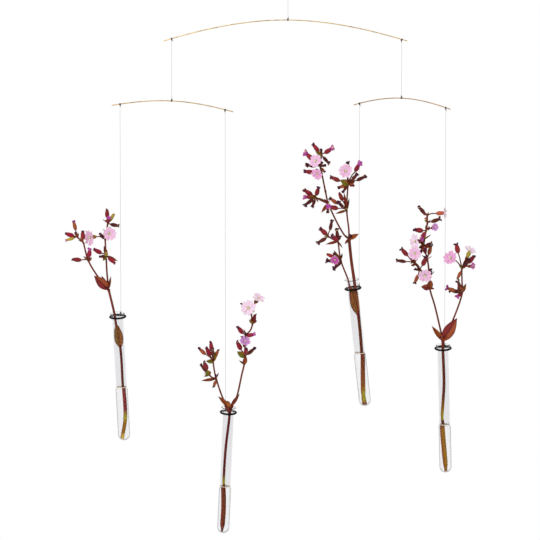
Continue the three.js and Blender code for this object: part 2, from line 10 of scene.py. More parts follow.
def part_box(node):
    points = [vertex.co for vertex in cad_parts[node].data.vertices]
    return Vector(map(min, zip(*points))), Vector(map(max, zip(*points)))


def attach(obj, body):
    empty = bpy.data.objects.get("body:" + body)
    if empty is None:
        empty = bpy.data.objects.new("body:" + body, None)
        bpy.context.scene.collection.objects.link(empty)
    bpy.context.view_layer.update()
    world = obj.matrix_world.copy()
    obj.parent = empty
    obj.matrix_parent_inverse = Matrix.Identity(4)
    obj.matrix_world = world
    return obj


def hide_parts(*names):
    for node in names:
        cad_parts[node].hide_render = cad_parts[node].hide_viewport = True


# A hanging flower mobile: brass wire arms on grey threads carry four glass vases by their rubber rings.
# Each vase holds water and a sprig of red campion.
# Sizes are in millimetres, apart from those of the floor and the light at the end, which are in metres.
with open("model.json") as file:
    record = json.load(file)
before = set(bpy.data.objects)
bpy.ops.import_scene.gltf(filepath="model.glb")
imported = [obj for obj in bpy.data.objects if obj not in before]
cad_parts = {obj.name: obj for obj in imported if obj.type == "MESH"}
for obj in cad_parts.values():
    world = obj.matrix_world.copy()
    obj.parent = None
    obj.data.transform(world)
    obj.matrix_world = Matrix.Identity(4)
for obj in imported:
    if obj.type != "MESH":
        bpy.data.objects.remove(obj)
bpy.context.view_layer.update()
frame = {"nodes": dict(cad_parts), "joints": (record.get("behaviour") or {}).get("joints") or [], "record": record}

MM = 0.001
UP = Vector((0, 0, 1))
BODY_OF = {node: body for body, nodes in frame["record"]["behaviour"]["bodies"].items() for node in nodes}
JOINTS = {joint["name"]: joint for joint in frame["joints"]}

# Camera
AIM = Vector((-22.3, 0, -386.3))
VIEW_DISTANCE = 6000
VIEW_ANGLE = math.radians(8)
LENS = 320
SENSOR_WIDTH = 36

# Threads and knots
THREAD_RADIUS = 0.2
THREAD_SPACING = 0.25
THREAD_OVERLAP = 0.9
THREAD_STEPS = 24
LAY_LENGTH = 1.5
PLIES = 3
PLY_GROOVE = 0.26
PLY_SIDES = 12
LOOP_LENGTH = 24
LOOP_WIDTH = 9
LOOP_STEPS = 8
KNOT_STRAND = 0.27
KNOT_PRESS = 0.8
KNOT_TAIL = 3.2
TAIL_STEPS = 5
WINDINGS = 4
WINDING_WIDTH = 2
WINDING_STEPS = 14
BEAD_STRAND = 0.34
BEAD_SCALE = 0.27
BEAD_OFFSET = 1.15
BEAD_POINTS = 40

# Wire arms, as the part's source has them: middle, sag and reach are shares of the span
WIRE_RADIUS = 0.6
WIRE_SIDES = 16
WIRE_STEPS = 90
# How the wire's cut ends round off: millimetres past the end, and the share of the radius there
WIRE_TIP = [(0.22, 0.93), (0.38, 0.72), (0.46, 0.4), (0.48, 0.05)]
BEND_SHARE = 0.5
NEARBY = 0.1
ARMS = {
    "main": dict(span=302, middle=-0.0106, sag=0.0864, tilt=0, turn=0, reach=(-0.4788, 0.4679)),
    "left": dict(span=150.5, middle=0.01, sag=0.0625, tilt=3.1, turn=0, reach=(-0.4253, 0.4451)),
    "right": dict(span=150.5, middle=0, sag=0.0738, tilt=-1.7, turn=-38.8, reach=(-0.4412, 0.4552)),
}

# Rings, vases and water
RING_CORD_RADIUS = 1.25
RING_RADIUS = 9.55
RING_SEGMENTS = 72
RING_SIDES = 24
MOULD_LINE = 0.07
VASE_LENGTH = 165
VASE_RADIUS = 7.6
VASE_WALL = 1
VASE_SEGMENTS = 72
WALL_STEPS = 12
BOWL_STEPS = 14
LIP_FLARE = 1.8
LIP_HEIGHT = 3
LIP_STEPS = 8
LIP_BAND = 0.9
OUTER_FLARE = LIP_FLARE * 0.92
OUTER_RISE = LIP_HEIGHT * 0.82
INNER_FLARE = LIP_FLARE - 0.3
INNER_RISE = LIP_HEIGHT * 0.86
EDGE_RADIUS = 0.42
EDGE_ANGLES = range(-20, 161, 30)
BORE_RADIUS = VASE_RADIUS - VASE_WALL
LIP_RADIUS = VASE_RADIUS + LIP_FLARE
GLASS_IOR = 1.12
LIP_IOR = 1.47
WATER_IOR = 1.333
WATER_GAP = 0.06
WATER_BAND = 3
WATER_STEPS = 8
WATER_RINGS = [0.98, 0.9, 0.7, 0.4, 0]
WATER_ROUNDING = 0.1
HAIR = 0.01
SHARP_ANGLE = math.radians(40)
MENISCUS = 0.8
MENISCUS_WIDTH = 0.5
MENISCUS_FOOT = 0.12
MENISCUS_LIFT = 0.03

# Stems in the bore, which has 18 flat sides in the part's source. Above the mouth the room for them widens.
STEM_RADIUS = 1.35
STEM_CLEAR = 0.3
BORE_SIDES = 18
BORE_FLAT = BORE_RADIUS * math.cos(math.pi / BORE_SIDES)
STEM_ROOM = BORE_FLAT - STEM_RADIUS - STEM_CLEAR
BORE_CLEAR = 0.35
BEND_DEPTH = 1.2
MOUTH_SPREAD = 1.5
MOUTH_TOP = 6

# Sprigs. A pair of numbers is the range that a drawn one lies in.
STEM_STEPS = 7
STEM_SIDES = 9
STEM_TAPER = 0.15
FOOT_TAPER = 8
BRANCH_RADIUS = 1.15
KNUCKLE_RADIUS = 1.8
KNUCKLE_REACH = 2.2
NODE_SWELL = 0.3
NODE_REACH = 1.6
TINT_SWING = 0.3
TINT_RISE = 0.11
TINT_ACROSS = 0.2
STALK_RADIUS = 0.75
STALK_POINTS = 7
STALK_LEAN = 0.3
STALK_BEND = 0.25
STALK_FOOT = 1.15
STALK_TAPER = 0.25
LEAST_STALK = 3 * STALK_RADIUS
BUD_LENGTH = 11
BUD_RADIUS = 2.5
BUD_SEAT = 0.4
BUD_SIZES = (0.9, 1.08)
SMALL_BUD = 0.4
SHADES = (0.85, 1.2)
RIPENESS = (0, 0.3)
TIP_LENGTH = 1.4
TIP_SINK = 0.8
TIP_STRETCH = 1.5
CALYX_LENGTH = 10.5
CALYX_SEAT = 0.6
CALYX_GAP = 0.3
PETAL_SPREAD = 1.1
THROAT_SHARE = 0.13
FLOWER_SEEDS = 20
BRACTS_ABOVE = 5
BRACT_LEAN = (0.5, 1.4)
BRACT_LENGTH = (6, 10.5)
BRACT_SHARE = (0.14, 0.2)
LATE_LEAN = (0.3, 1.2)
LATE_LENGTH = (6.5, 9)
draw = random.Random(11)


def paint(red, green, blue):
    """A colour as a screen shows it, 0 to 255, as the linear colour that a shader takes: the sRGB curve."""
    linear = [c / 3294.6 if c < 10.3 else ((c / 255 + 0.055) / 1.055) ** 2.4 for c in (red, green, blue)]
    return (*linear, 1.0)


STEM_PAINTS = {
    "maroon": paint(92, 20, 16),
    "umber": paint(94, 42, 14),
    "russet": paint(130, 52, 40),
    "crimson": paint(134, 42, 40),
    "sienna": paint(114, 44, 2),
    "ochre": paint(136, 70, 4),
    "olive": paint(160, 110, 4),
    "lime": paint(172, 164, 28),
    "straw": paint(226, 198, 84),
}
LEAF_PAINTS = {
    "bronze": paint(138, 62, 34),
    "rust": paint(160, 82, 34),
    "red": paint(146, 50, 52),
    "ochre": paint(138, 84, 26),
    "olive": paint(124, 90, 34),
    "green": paint(124, 138, 30),
    "brown": paint(96, 40, 28),
    "crimson": paint(136, 42, 46),
}
PETAL_PAINTS = {
    "pink": paint(246, 200, 230),
    "pale": paint(250, 224, 240),
    "strong": paint(242, 176, 220),
    "violet": paint(206, 140, 212),
    "magenta": paint(194, 70, 164),
}

# What each kind of spent or closed flower looks like: its calyx, and the withered or furled petals
# at its mouth
KINDS = {
    "spent": dict(calyx=paint(150, 16, 48), girth=1.1, tip=paint(86, 22, 58), tip_size=0.8),
    "dark": dict(calyx=paint(84, 26, 24), girth=0.9, tip=paint(72, 20, 46), tip_size=0.85),
    "tan": dict(calyx=paint(176, 88, 50), girth=0.9, tip=paint(70, 18, 44), tip_size=0.75),
    "closed": dict(calyx=paint(164, 44, 48), girth=0.95, tip=paint(140, 40, 52), tip_size=0.45),
    "amber": dict(calyx=paint(186, 112, 44), girth=1.05, tip=paint(150, 80, 40), tip_size=0.45),
    "lime": dict(calyx=paint(182, 166, 60), girth=0.85, tip=paint(190, 140, 70), tip_size=0.5),
    "brown": dict(calyx=paint(168, 92, 48), girth=0.85, tip=paint(156, 62, 124), tip_size=0.95),
    "green": dict(calyx=paint(190, 178, 60), girth=0.8, tip=paint(214, 104, 160), tip_size=0.8),
    "pink": dict(calyx=paint(152, 24, 56), girth=1.1, tip=paint(190, 78, 172), tip_size=1.1),
}
CALYX_PAINTS = {
    "umber": paint(130, 62, 40),
    "tan": paint(182, 138, 62),
    "crimson": paint(152, 26, 56),
    "coral": paint(206, 100, 70),
    "lime": paint(186, 176, 60),
}
RIPE = paint(140, 76, 40)
CREAM = paint(252, 240, 190)
WHITE = paint(255, 255, 255)


def joint(x, y, z, **grown):
    """One joint of a sprig, by its place above the vase's mouth, and what grows there."""
    return dict(place=Vector((x, y, z)), **grown)


def bore_place(across, back, depth):
    """A place in the bore, by shares of the room to either side and of the way down to the bottom."""
    x, y = across * STEM_ROOM, back * STEM_ROOM
    reach = math.hypot(x, y) + STEM_RADIUS
    floor = STEM_CLEAR + VASE_RADIUS - VASE_LENGTH - math.sqrt(BORE_FLAT**2 - reach**2)
    return x, y, depth * floor


def in_bore(across, back, depth, **grown):
    """A joint of the stem inside the vase, and what grows there."""
    return joint(*bore_place(across, back, depth), **grown)


def flower(centre, facing, width, colour="pink", calyx="umber"):
    """An open flower: where it is, where it looks, and how wide and in which colours."""
    facing = Vector(facing).normalized()
    return dict(centre=Vector(centre), facing=facing, width=width, colour=colour, calyx=calyx)


# The sprigs, from left to right as they hang, with the same joints as the part's source has.
# Buds and leaves are given by their tips. The last number of a leaf is its width as a share of its length,
# or of the bore's radius for a leaf in the bore.
# water is the filled share of the vase. girth scales the stem, wet scales it again below the water, and foot
# takes the place of wet at the stem's foot. stops says how the stem's colour changes from the mouth down.
SPRIG_1_LEFT = [
    joint(-21, -9, 50),
    joint(-32, -11, 72,
          buds=[(-52, -16, 76, "spent"), (-29, -16, 88, "pink")],
          leaves=[(-38, -13, 79, "olive", 0.25), (-27, -15, 77, "brown", 0.5)]),
    joint(-36, -10, 90),
    joint(-37, -10, 95, buds=[(-37, -14, 111, "spent")]),
    joint(-44, -8, 102,
          buds=[(-59, -10, 108, "spent"), (-48, -5, 122, "brown"), (-59, -14, 100, "green")],
          leaves=[(-42, -10, 108, "brown", 0.35)]),
]
SPRIG_1_RIGHT = [
    joint(-10, -5, 55),
    joint(-10, -1, 75,
          buds=[(-25, -5, 85, "spent"), (1, -7, 66, "spent"), (-18, -10, 76, "dark"),
                (-9, -14, 82, "lime")],
          leaves=[(-14, -8, 70, "green", 0.5), (4, 0, 67, "rust", 0.24), (-12, -4, 89, "brown", 0.24)]),
    joint(-10, 1, 95,
          buds=[(-16, -8, 105, "dark")],
          leaves=[(-18, 4, 103, "bronze", 0.35)],
          flowers=[flower((-29, -4, 100), (-0.75, -0.65, 0.1), 17, "pink", "tan")]),
    joint(-8, 1, 105, flowers=[flower((-4, -10, 105), (0.1, -1, 0.1), 15)]),
    joint(-6, 2, 115,
          buds=[(-6, 2, 134, "spent"), (3, 6, 127, "lime"), (8, -4, 113, "dark"), (-4, -8, 125, "pink")]),
]
SPRIG_2_LEFT_SIDE = [
    joint(-22, -10, 40),
    joint(-26, -12, 44,
          buds=[(-37, -13, 57, "dark"), (-33, -19, 62, "spent")],
          leaves=[(-30, -22, 53, "green", 0.5), (-33, -17, 43, "olive", 0.3)]),
]
SPRIG_2_LEFT = [
    joint(-5, -6, 8),
    joint(-17, -8, 38,
          buds=[(-20, -14, 29, "tan")],
          leaves=[(-36, -12, 36, "bronze", 0.2)],
          branches=[SPRIG_2_LEFT_SIDE]),
    joint(-20, -7, 49),
    joint(-22, -7, 60,
          buds=[(-26, -5, 85, "spent"), (-40, -13, 78, "tan"), (-31, -8, 78, "spent"),
                (-16, 0, 74, "tan"), (-23, -17, 79, "dark")],
          leaves=[(-31, -14, 62, "green", 0.45), (-19, -12, 75, "green", 0.35)]),
]
SPRIG_2_RIGHT = [
    joint(8, -4, 10),
    joint(15, -2, 46),
    joint(17, -2, 57, leaves=[(10, -6, 63, "brown", 0.22), (19, -8, 70, "bronze", 0.4)]),
    joint(17, -3, 67,
          buds=[(7, -8, 87, "spent"), (29, 2, 77, "dark"), (19, -16, 81, "spent")],
          leaves=[(7, -12, 76, "green", 0.45)]),
    joint(17, -4, 83, flowers=[flower((17, -14, 90), (0.1, -0.55, 0.83), 13, "violet")]),
    joint(17, -5, 94, buds=[(7, -11, 107, "spent"), (28, -11, 99, "pink"), (11, -6, 93, "dark")]),
    joint(23, -6, 103),
    joint(25, -6, 111,
          buds=[(28, -2, 122, "spent")],
          leaves=[(20, -12, 118, "green", 0.28), (31, -9, 116, "olive", 0.28)]),
    joint(23, -5, 123,
          buds=[(11, 2, 134, "dark")],
          leaves=[(27, -8, 129, "olive", 0.2)],
          flowers=[flower((19, -17, 134), (-0.2, -0.9, 0.35), 17, "pale"),
                   flower((31, -9, 145), (0.4, -0.5, 0.75), 13, "pale")]),
]
SPRIG_3_LOW_SIDE = [
    joint(-18, -11, 56),
    joint(-23, -12, 60, buds=[(-17, -9, 79, "dark"), (-32, -15, 72, "spent"), (-37, -12, 54, "dark")]),
]
SPRIG_3_LOW = [
    in_bore(-0.65, -0.4, 0.13),
    in_bore(-0.9, -0.35, 0.01),
    joint(-11, -8, 27,
          buds=[(-28, -14, 39, "closed"), (-28, -6, 28, "dark"), (-20, -17, 20, "dark"),
                (-18, -3, 36, "dark")],
          leaves=[(-19, -12, 43, "olive", 0.16), (-17, -12, 20, "brown", 0.5)],
          flowers=[flower((-18, -19, 31), (-0.3, -0.95, 0.1), 10, "magenta")]),
    joint(-12, -10, 52,
          buds=[(-12, -9, 67, "dark"), (-18, -18, 62, "spent")],
          leaves=[(-28, -18, 52, "bronze", 0.2), (-7, -14, 44, "brown", 0.2)],
          branches=[SPRIG_3_LOW_SIDE]),
]
SPRIG_3_RIGHT = [
    joint(3, -7, 65),
    joint(3, -8, 90,
          buds=[(-4, -13, 115, "closed"), (-16, -9, 108, "tan"), (-6, -21, 104, "dark"),
                (-18, -16, 99, "pink")],
          leaves=[(8, -4, 105, "brown", 0.16), (2, -14, 115, "crimson", 0.16),
                  (-12, -15, 89, "olive", 0.2)]),
    joint(8, -9, 123,
          buds=[(25, -14, 149, "pink"), (-12, -5, 134, "spent"), (30, -15, 132, "dark"),
                (20, -22, 137, "dark"), (1, -16, 116, "dark"), (15, -5, 120, "spent"),
                (-4, -16, 122, "tan"), (11, -4, 150, "dark")],
          leaves=[(-1, -18, 132, "green", 0.5), (18, -14, 128, "brown", 0.5)],
          flowers=[flower((7, -20, 143), (0, -0.95, 0.3), 15)]),
]
SPRIG_3_LEFT_SIDE = [
    joint(-29, -6, 107),
    joint(-34, -8, 111,
          buds=[(-47, -5, 121, "spent"), (-29, -14, 124, "spent"), (-47, -13, 114, "pink"),
                (-48, -9, 103, "dark"), (-39, -14, 101, "dark")],
          leaves=[(-42, -19, 115, "olive", 0.4), (-31, -13, 105, "bronze", 0.25)]),
]
SPRIG_3_LEFT = [
    joint(-3, -5, 58),
    joint(-19, -2, 100,
          buds=[(-21, -10, 91, "dark")],
          leaves=[(-29, -10, 91, "bronze", 0.28), (-33, 2, 109, "bronze", 0.2)],
          branches=[SPRIG_3_LEFT_SIDE]),
    joint(-21, 0, 116, leaves=[(-22, -3, 129, "crimson", 0.16)]),
    joint(-23, 1, 138,
          buds=[(-44, 5, 143, "spent")],
          flowers=[flower((-29, -10, 141), (-0.35, -0.9, -0.1), 13, "strong")]),
    joint(-24, 1, 147,
          buds=[(-17, 5, 148, "dark"), (-40, 3, 166, "pink"), (-40, 9, 150, "dark"),
                (-19, -4, 141, "tan")],
          flowers=[flower((-29, -10, 158), (-0.3, -0.9, 0.4), 15)]),
    joint(-21, 1, 162,
          buds=[(-30, 5, 176, "spent"), (-7, -4, 170, "pink"), (-13, 0, 151, "dark")],
          leaves=[(-28, -6, 169, "green", 0.42), (-20, 4, 169, "olive", 0.25)]),
]
SPRIG_4_LEFT_SIDE = [
    joint(-26, -10, 100, buds=[(-34, -16, 85, "tan"), (-19, -15, 117, "spent")]),
    joint(-31, -12, 107, flowers=[flower((-33, -23, 125), (-0.15, -0.9, 0.3), 15)]),
    joint(-34, -12, 110,
          buds=[(-49, -9, 128, "spent"), (-55, -16, 115, "dark"), (-30, -9, 115, "dark")]),
]
SPRIG_4_LEFT = [
    joint(-9, -6, 52),
    joint(-15, -7, 76,
          buds=[(-14, 2, 98, "spent")],
          leaves=[(-26, -14, 80, "crimson", 0.55), (-14, -14, 89, "bronze", 0.5),
                  (-9, -12, 76, "brown", 0.35)]),
    joint(-15, -6, 90,
          flowers=[flower((-21, -18, 95), (-0.1, -1, -0.05), 15)],
          branches=[SPRIG_4_LEFT_SIDE]),
    joint(-17, -6, 112, buds=[(-12, -2, 129, "tan")]),
    joint(-21, -5, 129,
          buds=[(-20, -18, 128, "spent"), (-25, -14, 124, "tan"), (-11, -9, 134, "dark"),
                (-26, -1, 136, "dark")],
          leaves=[(-28, -12, 129, "brown", 0.5), (-14, -14, 130, "bronze", 0.5),
                  (-19, -13, 120, "crimson", 0.45)]),
    joint(-20, -5, 137, flowers=[flower((-32, -14, 138), (-0.85, -0.5, 0.15), 16, "pale")]),
    joint(-18, -4, 148,
          buds=[(-32, -11, 152, "spent"), (-24, -16, 142, "pink")],
          flowers=[flower((-7, -13, 155), (0.45, -0.8, 0.35), 9, "violet", "crimson")]),
    joint(-16, -4, 158, buds=[(0, 0, 162, "dark")]),
    joint(-16, -4, 167,
          buds=[(-26, -9, 180, "dark")],
          leaves=[(-14, -6, 173, "olive", 0.3)],
          flowers=[flower((5, -6, 171), (0.97, -0.2, 0.1), 13, "pale", "coral")]),
]
SPRIG_4_RIGHT = [
    joint(13, -6, 34),
    joint(25, -8, 69,
          buds=[(6, -14, 77, "brown"), (20, -3, 83, "dark"), (18, -15, 66, "pink"),
                (10, -5, 72, "dark")],
          leaves=[(30, -12, 82, "olive", 0.3), (19, -18, 81, "brown", 0.5)]),
    joint(25, -9, 84),
    joint(25, -9, 99,
          buds=[(19, -14, 88, "tan"), (19, -6, 131, "spent"), (41, 0, 113, "spent"),
                (35, -7, 111, "dark"), (35, 3, 117, "dark")],
          flowers=[flower((11, -18, 117), (-0.5, -0.75, 0.45), 16, "strong", "crimson"),
                   flower((36, -9, 123), (0.4, -0.2, 0.9), 14, "pale", "lime"),
                   flower((38, -17, 105), (0.75, -0.6, 0.15), 8, "magenta")]),
]
SPRIGS = [
    dict(
        water=0.412, girth=1.3, wet=0.9, foot=0.9,
        stops=[(0, "russet"), (0.3, "maroon"), (0.58, "umber"), (0.6, "crimson"), (0.78, "crimson"),
               (0.81, "lime"), (0.84, "lime"), (0.86, "olive"), (0.95, "olive"), (0.97, "straw")],
        stem=[
            in_bore(-0.36, 0.45, 1),
            in_bore(0.33, 0.5, 0.84, knuckle=True),
            in_bore(0.35, 0.4, 0.58),
            in_bore(0.3, -0.3, 0.28,
                    knuckle=True,
                    bore_leaves=[(-0.4, -0.8, 0.09, "olive", 1.8), (0.15, -0.75, 0.11, "olive", 1.3)]),
            in_bore(-0.4, -0.4, 0.11),
            in_bore(-0.75, -0.5, 0),
            joint(-9, -7, 33,
                  leaves=[(-26, -13, 53, "crimson", 0.44), (-5, -10, 51, "brown", 0.18),
                          (-17, -6, 51, "brown", 0.26)],
                  branches=[SPRIG_1_LEFT, SPRIG_1_RIGHT]),
        ],
    ),
    dict(
        water=0.364, girth=1.35, wet=1.07, foot=0.4,
        stops=[(0, "maroon"), (0.5, "maroon"), (0.56, "umber"), (0.585, "lime"), (0.61, "lime"),
               (0.625, "maroon"), (0.64, "sienna"), (1, "sienna")],
        stem=[
            in_bore(-0.18, 0.5, 1),
            in_bore(-0.09, 0.6, 0.83),
            in_bore(-0.27, 0.55, 0.66),
            in_bore(-0.42, 0.4, 0.61, knuckle=True),
            in_bore(-0.3, 0.1, 0.34),
            in_bore(0.26, -0.5, 0.1),
            in_bore(0.32, -0.64, 0.045,
                    leaves=[(-6, -5, 8, "crimson", 0.32), (5.5, -3, 8, "crimson", 0.3)]),
            in_bore(0.35, -0.7, 0.02),
            joint(2, -5, 1,
                  buds=[(-2, -13, 11, "amber")],
                  leaves=[(-14, -12, 17, "rust", 0.24), (13, 0, 18, "bronze", 0.22)],
                  branches=[SPRIG_2_LEFT, SPRIG_2_RIGHT]),
        ],
    ),
    dict(
        water=0.412, girth=1.65, wet=0.95, foot=0.9,
        stops=[(0, "russet"), (0.3, "maroon"), (0.34, "umber"), (0.58, "umber"), (0.6, "sienna"),
               (0.8, "ochre"), (0.87, "olive"), (0.91, "lime"), (0.96, "lime"), (0.98, "russet")],
        stem=[
            in_bore(-0.1, 0.3, 1),
            in_bore(-0.16, 0.35, 0.93, knuckle=True),
            in_bore(0.17, 0.4, 0.75),
            in_bore(0.55, 0.3, 0.58),
            in_bore(0.75, -0.2, 0.3,
                    knuckle=True,
                    bore_leaves=[(-0.45, -0.85, 0.06, "ochre", 1.9), (0.45, -0.95, 0.065, "ochre", 1.9)],
                    branches=[SPRIG_3_LOW]),
            in_bore(0.65, -0.65, 0.05),
            joint(2, -5, 23),
            joint(2, -6, 53,
                  leaves=[(15, -14, 60, "rust", 0.36), (-4, -10, 48, "brown", 0.4)],
                  branches=[SPRIG_3_RIGHT, SPRIG_3_LEFT]),
        ],
    ),
    dict(
        water=0.37, girth=1.55, wet=0.95, foot=0.5,
        stops=[(0, "russet"), (0.1, "umber"), (0.4, "umber"), (0.5, "olive"), (0.56, "lime"),
               (0.58, "lime"), (0.595, "maroon"), (0.62, "umber"), (0.66, "olive"), (1, "olive")],
        stem=[
            in_bore(0.05, 0.6, 1),
            in_bore(-0.28, 0.6, 0.74),
            in_bore(-0.4, 0.5, 0.64),
            in_bore(-0.6, 0.2, 0.58, knuckle=True),
            in_bore(-0.3, -0.1, 0.45),
            in_bore(0.05, -0.4, 0.3),
            in_bore(-0.05, -0.65, 0.01),
            joint(0, -4, 7,
                  leaves=[(-14, -12, 29, "rust", 0.22), (18, -12, 38, "red", 0.38)],
                  branches=[SPRIG_4_LEFT, SPRIG_4_RIGHT]),
        ],
    ),
]


class Wiring:
    """Adds nodes to a tree one by one and links them; a plain value is set on the socket itself."""

    def __init__(self, tree):
        self.tree = tree

    def join(self, value, socket):
        if isinstance(value, Field):
            value = value.socket
        if isinstance(value, bpy.types.NodeSocket):
            self.tree.links.new(value, socket)
        elif value is not None:
            socket.default_value = value

    def add(self, kind, *values, named=None, **settings):
        node = self.tree.nodes.new(kind)
        for key, value in settings.items():
            setattr(node, key, value)
        ready = [socket for socket in node.inputs if not socket.is_unavailable]
        for socket, value in zip(ready, values):
            self.join(value, socket)
        for key, value in (named or {}).items():
            self.join(value, next(socket for socket in ready if socket.name == key))
        return [Field(self, socket) for socket in node.outputs if not socket.is_unavailable]

    def one(self, kind, *values, **settings):
        return self.add(kind, *values, **settings)[0]

    def math(self, operation, *values):
        return self.one("ShaderNodeMath", *values, operation=operation)

    def vector(self, x, y, z):
        return self.one("ShaderNodeCombineXYZ", x, y, z)

    def parts(self, vector):
        return self.add("ShaderNodeSeparateXYZ", vector)

    def curve(self, value, points):
        """A smooth curve through (0 to 1, height) points, read at a value."""
        node = self.tree.nodes.new("ShaderNodeFloatCurve")
        line = node.mapping.curves[0]
        for x, y in points[1:-1]:
            line.points.new(x, y)
        line.points[0].location = points[0]
        line.points[-1].location = points[-1]
        node.mapping.update()
        self.join(value, node.inputs["Value"])
        return Field(self, node.outputs[0])


class Field:
    """A number that a tree works out; sums and products of fields become its math nodes."""

    def __init__(self, wiring, socket):
        self.wiring = wiring
        self.socket = socket

    def __add__(self, other):
        return self.wiring.math("ADD", self, other)

    def __radd__(self, other):
        return self.wiring.math("ADD", other, self)

    def __sub__(self, other):
        return self.wiring.math("SUBTRACT", self, other)

    def __rsub__(self, other):
        return self.wiring.math("SUBTRACT", other, self)

    def __mul__(self, other):
        return self.wiring.math("MULTIPLY", self, other)

    def __truediv__(self, other):
        return self.wiring.math("DIVIDE", self, other)

    def __pow__(self, other):
        return self.wiring.math("POWER", self, other)

    def __abs__(self):
        return self.wiring.math("ABSOLUTE", self)

    def sin(self):
        return self.wiring.math("SINE", self)

    def cos(self):
        return self.wiring.math("COSINE", self)

    def above(self, least):
        return self.wiring.math("MAXIMUM", self, least)


class Growth(Wiring):
    """A Geometry Nodes tree with named inputs for its sizes.

    It ends in Realize Instances and Set Material.
    """

    def __init__(self, name, **sizes):
        super().__init__(bpy.data.node_groups.new(name, "GeometryNodeTree"))
        face = self.tree.interface
        face.new_socket("Geometry", in_out="INPUT", socket_type="NodeSocketGeometry")
        self.keys = {}
        for key, value in sizes.items():
            kind = "NodeSocketInt" if isinstance(value, int) else "NodeSocketFloat"
            made = face.new_socket(key.replace("_", " ").capitalize(), in_out="INPUT", socket_type=kind)
            made.default_value = value
            self.keys[key] = made.identifier
        made = face.new_socket("Material", in_out="INPUT", socket_type="NodeSocketMaterial")
        self.keys["material"] = made.identifier
        face.new_socket("Geometry", in_out="OUTPUT", socket_type="NodeSocketGeometry")
        given = self.tree.nodes.new("NodeGroupInput")
        self.given = Field(self, given.outputs[0])
        self.size = {key: Field(self, given.outputs[i + 1]) for i, key in enumerate(self.keys)}

    def attribute(self, name, kind="FLOAT"):
        return self.one("GeometryNodeInputNamedAttribute", name, data_type=kind)

    def sheet(self, columns, rows):
        """A grid, with the two shares that say where a point is on it, kept as its UV map too."""
        mesh, _ = self.add("GeometryNodeMeshGrid", 1.0, 1.0, columns, rows)
        x, y, _ = self.parts(self.one("GeometryNodeInputPosition"))
        u, v = x + 0.5, y + 0.5
        mesh = self.one("GeometryNodeStoreNamedAttribute", mesh, None, "UVMap", self.vector(u, v, 0.0),
                        data_type="FLOAT2", domain="CORNER")
        return mesh, u, v

    def bend(self, mesh, x, y, z):
        return self.one("GeometryNodeSetPosition", mesh, None, self.vector(x, y, z))

    def closed(self, mesh, distance=0.0005):
        return self.one("GeometryNodeMergeByDistance", mesh, None, distance)

    def thick(self, mesh, thickness):
        """A thin sheet with both faces and its edge."""
        front = self.add("GeometryNodeExtrudeMesh", mesh, None, None, thickness, False)[0]
        back = self.one("GeometryNodeFlipFaces", mesh)
        node = self.tree.nodes.new("GeometryNodeJoinGeometry")
        for half in (front, back):
            self.tree.links.new(half.socket, node.inputs[0])
        return self.closed(Field(self, node.outputs[0]), 0.00001)

    def planted(self, shape, up="Z", side="X"):
        """The shape at each given point, turned by the point's facing and side and scaled by its size."""
        turn = self.one("FunctionNodeAxesToRotation", self.attribute("facing", "FLOAT_VECTOR"),
                        self.attribute("side", "FLOAT_VECTOR"), primary_axis=up, secondary_axis=side)
        return self.one("GeometryNodeInstanceOnPoints", self.given, None, shape, None, None, turn,
                        self.attribute("size", "FLOAT_VECTOR"))

    def end(self, geometry):
        smooth = self.one("GeometryNodeSetShadeSmooth", geometry)
        real = self.one("GeometryNodeRealizeInstances", smooth)
        painted = self.one("GeometryNodeSetMaterial", real, None, self.size["material"])
        out = self.tree.nodes.new("NodeGroupOutput")
        self.join(painted, out.inputs[0])
        return self


def laid_thread_tree():
    """A thread of plies twisted together, along the given lines."""
    tree = Growth("Laid thread", thread_radius=THREAD_RADIUS * MM, lay_length=LAY_LENGTH * MM,
                  spacing=THREAD_SPACING * MM)
    line = tree.one("GeometryNodeMeshToCurve", tree.given)
    line = tree.one("GeometryNodeResampleCurve", line, None, tree.size["spacing"], mode="LENGTH")
    along = tree.add("GeometryNodeSplineParameter")[1]
    line = tree.one("GeometryNodeSetCurveTilt", line, None, along / tree.size["lay_length"] * (2 * math.pi))
    ring = tree.one("GeometryNodeCurvePrimitiveCircle", PLY_SIDES, named={"Radius": 1.0})
    x, y, _ = tree.parts(tree.one("GeometryNodeInputPosition"))
    ply = abs((tree.math("ARCTAN2", y, x) * (PLIES / 2)).cos())
    lobe = ply * PLY_GROOVE + (1 - PLY_GROOVE)
    ring = tree.one("GeometryNodeSetPosition", ring, None, tree.vector(x * lobe, y * lobe, 0.0))
    return tree.end(tree.one("GeometryNodeCurveToMesh", line, ring, tree.size["thread_radius"], True))


def rod_tree():
    """A round rod along the given lines, as thick as its points say."""
    tree = Growth("Round rod", sides=WIRE_SIDES)
    line = tree.one("GeometryNodeMeshToCurve", tree.given)
    ring = tree.one("GeometryNodeCurvePrimitiveCircle", tree.size["sides"], named={"Radius": 1.0})
    return tree.end(tree.one("GeometryNodeCurveToMesh", line, ring, tree.attribute("thickness"), True))


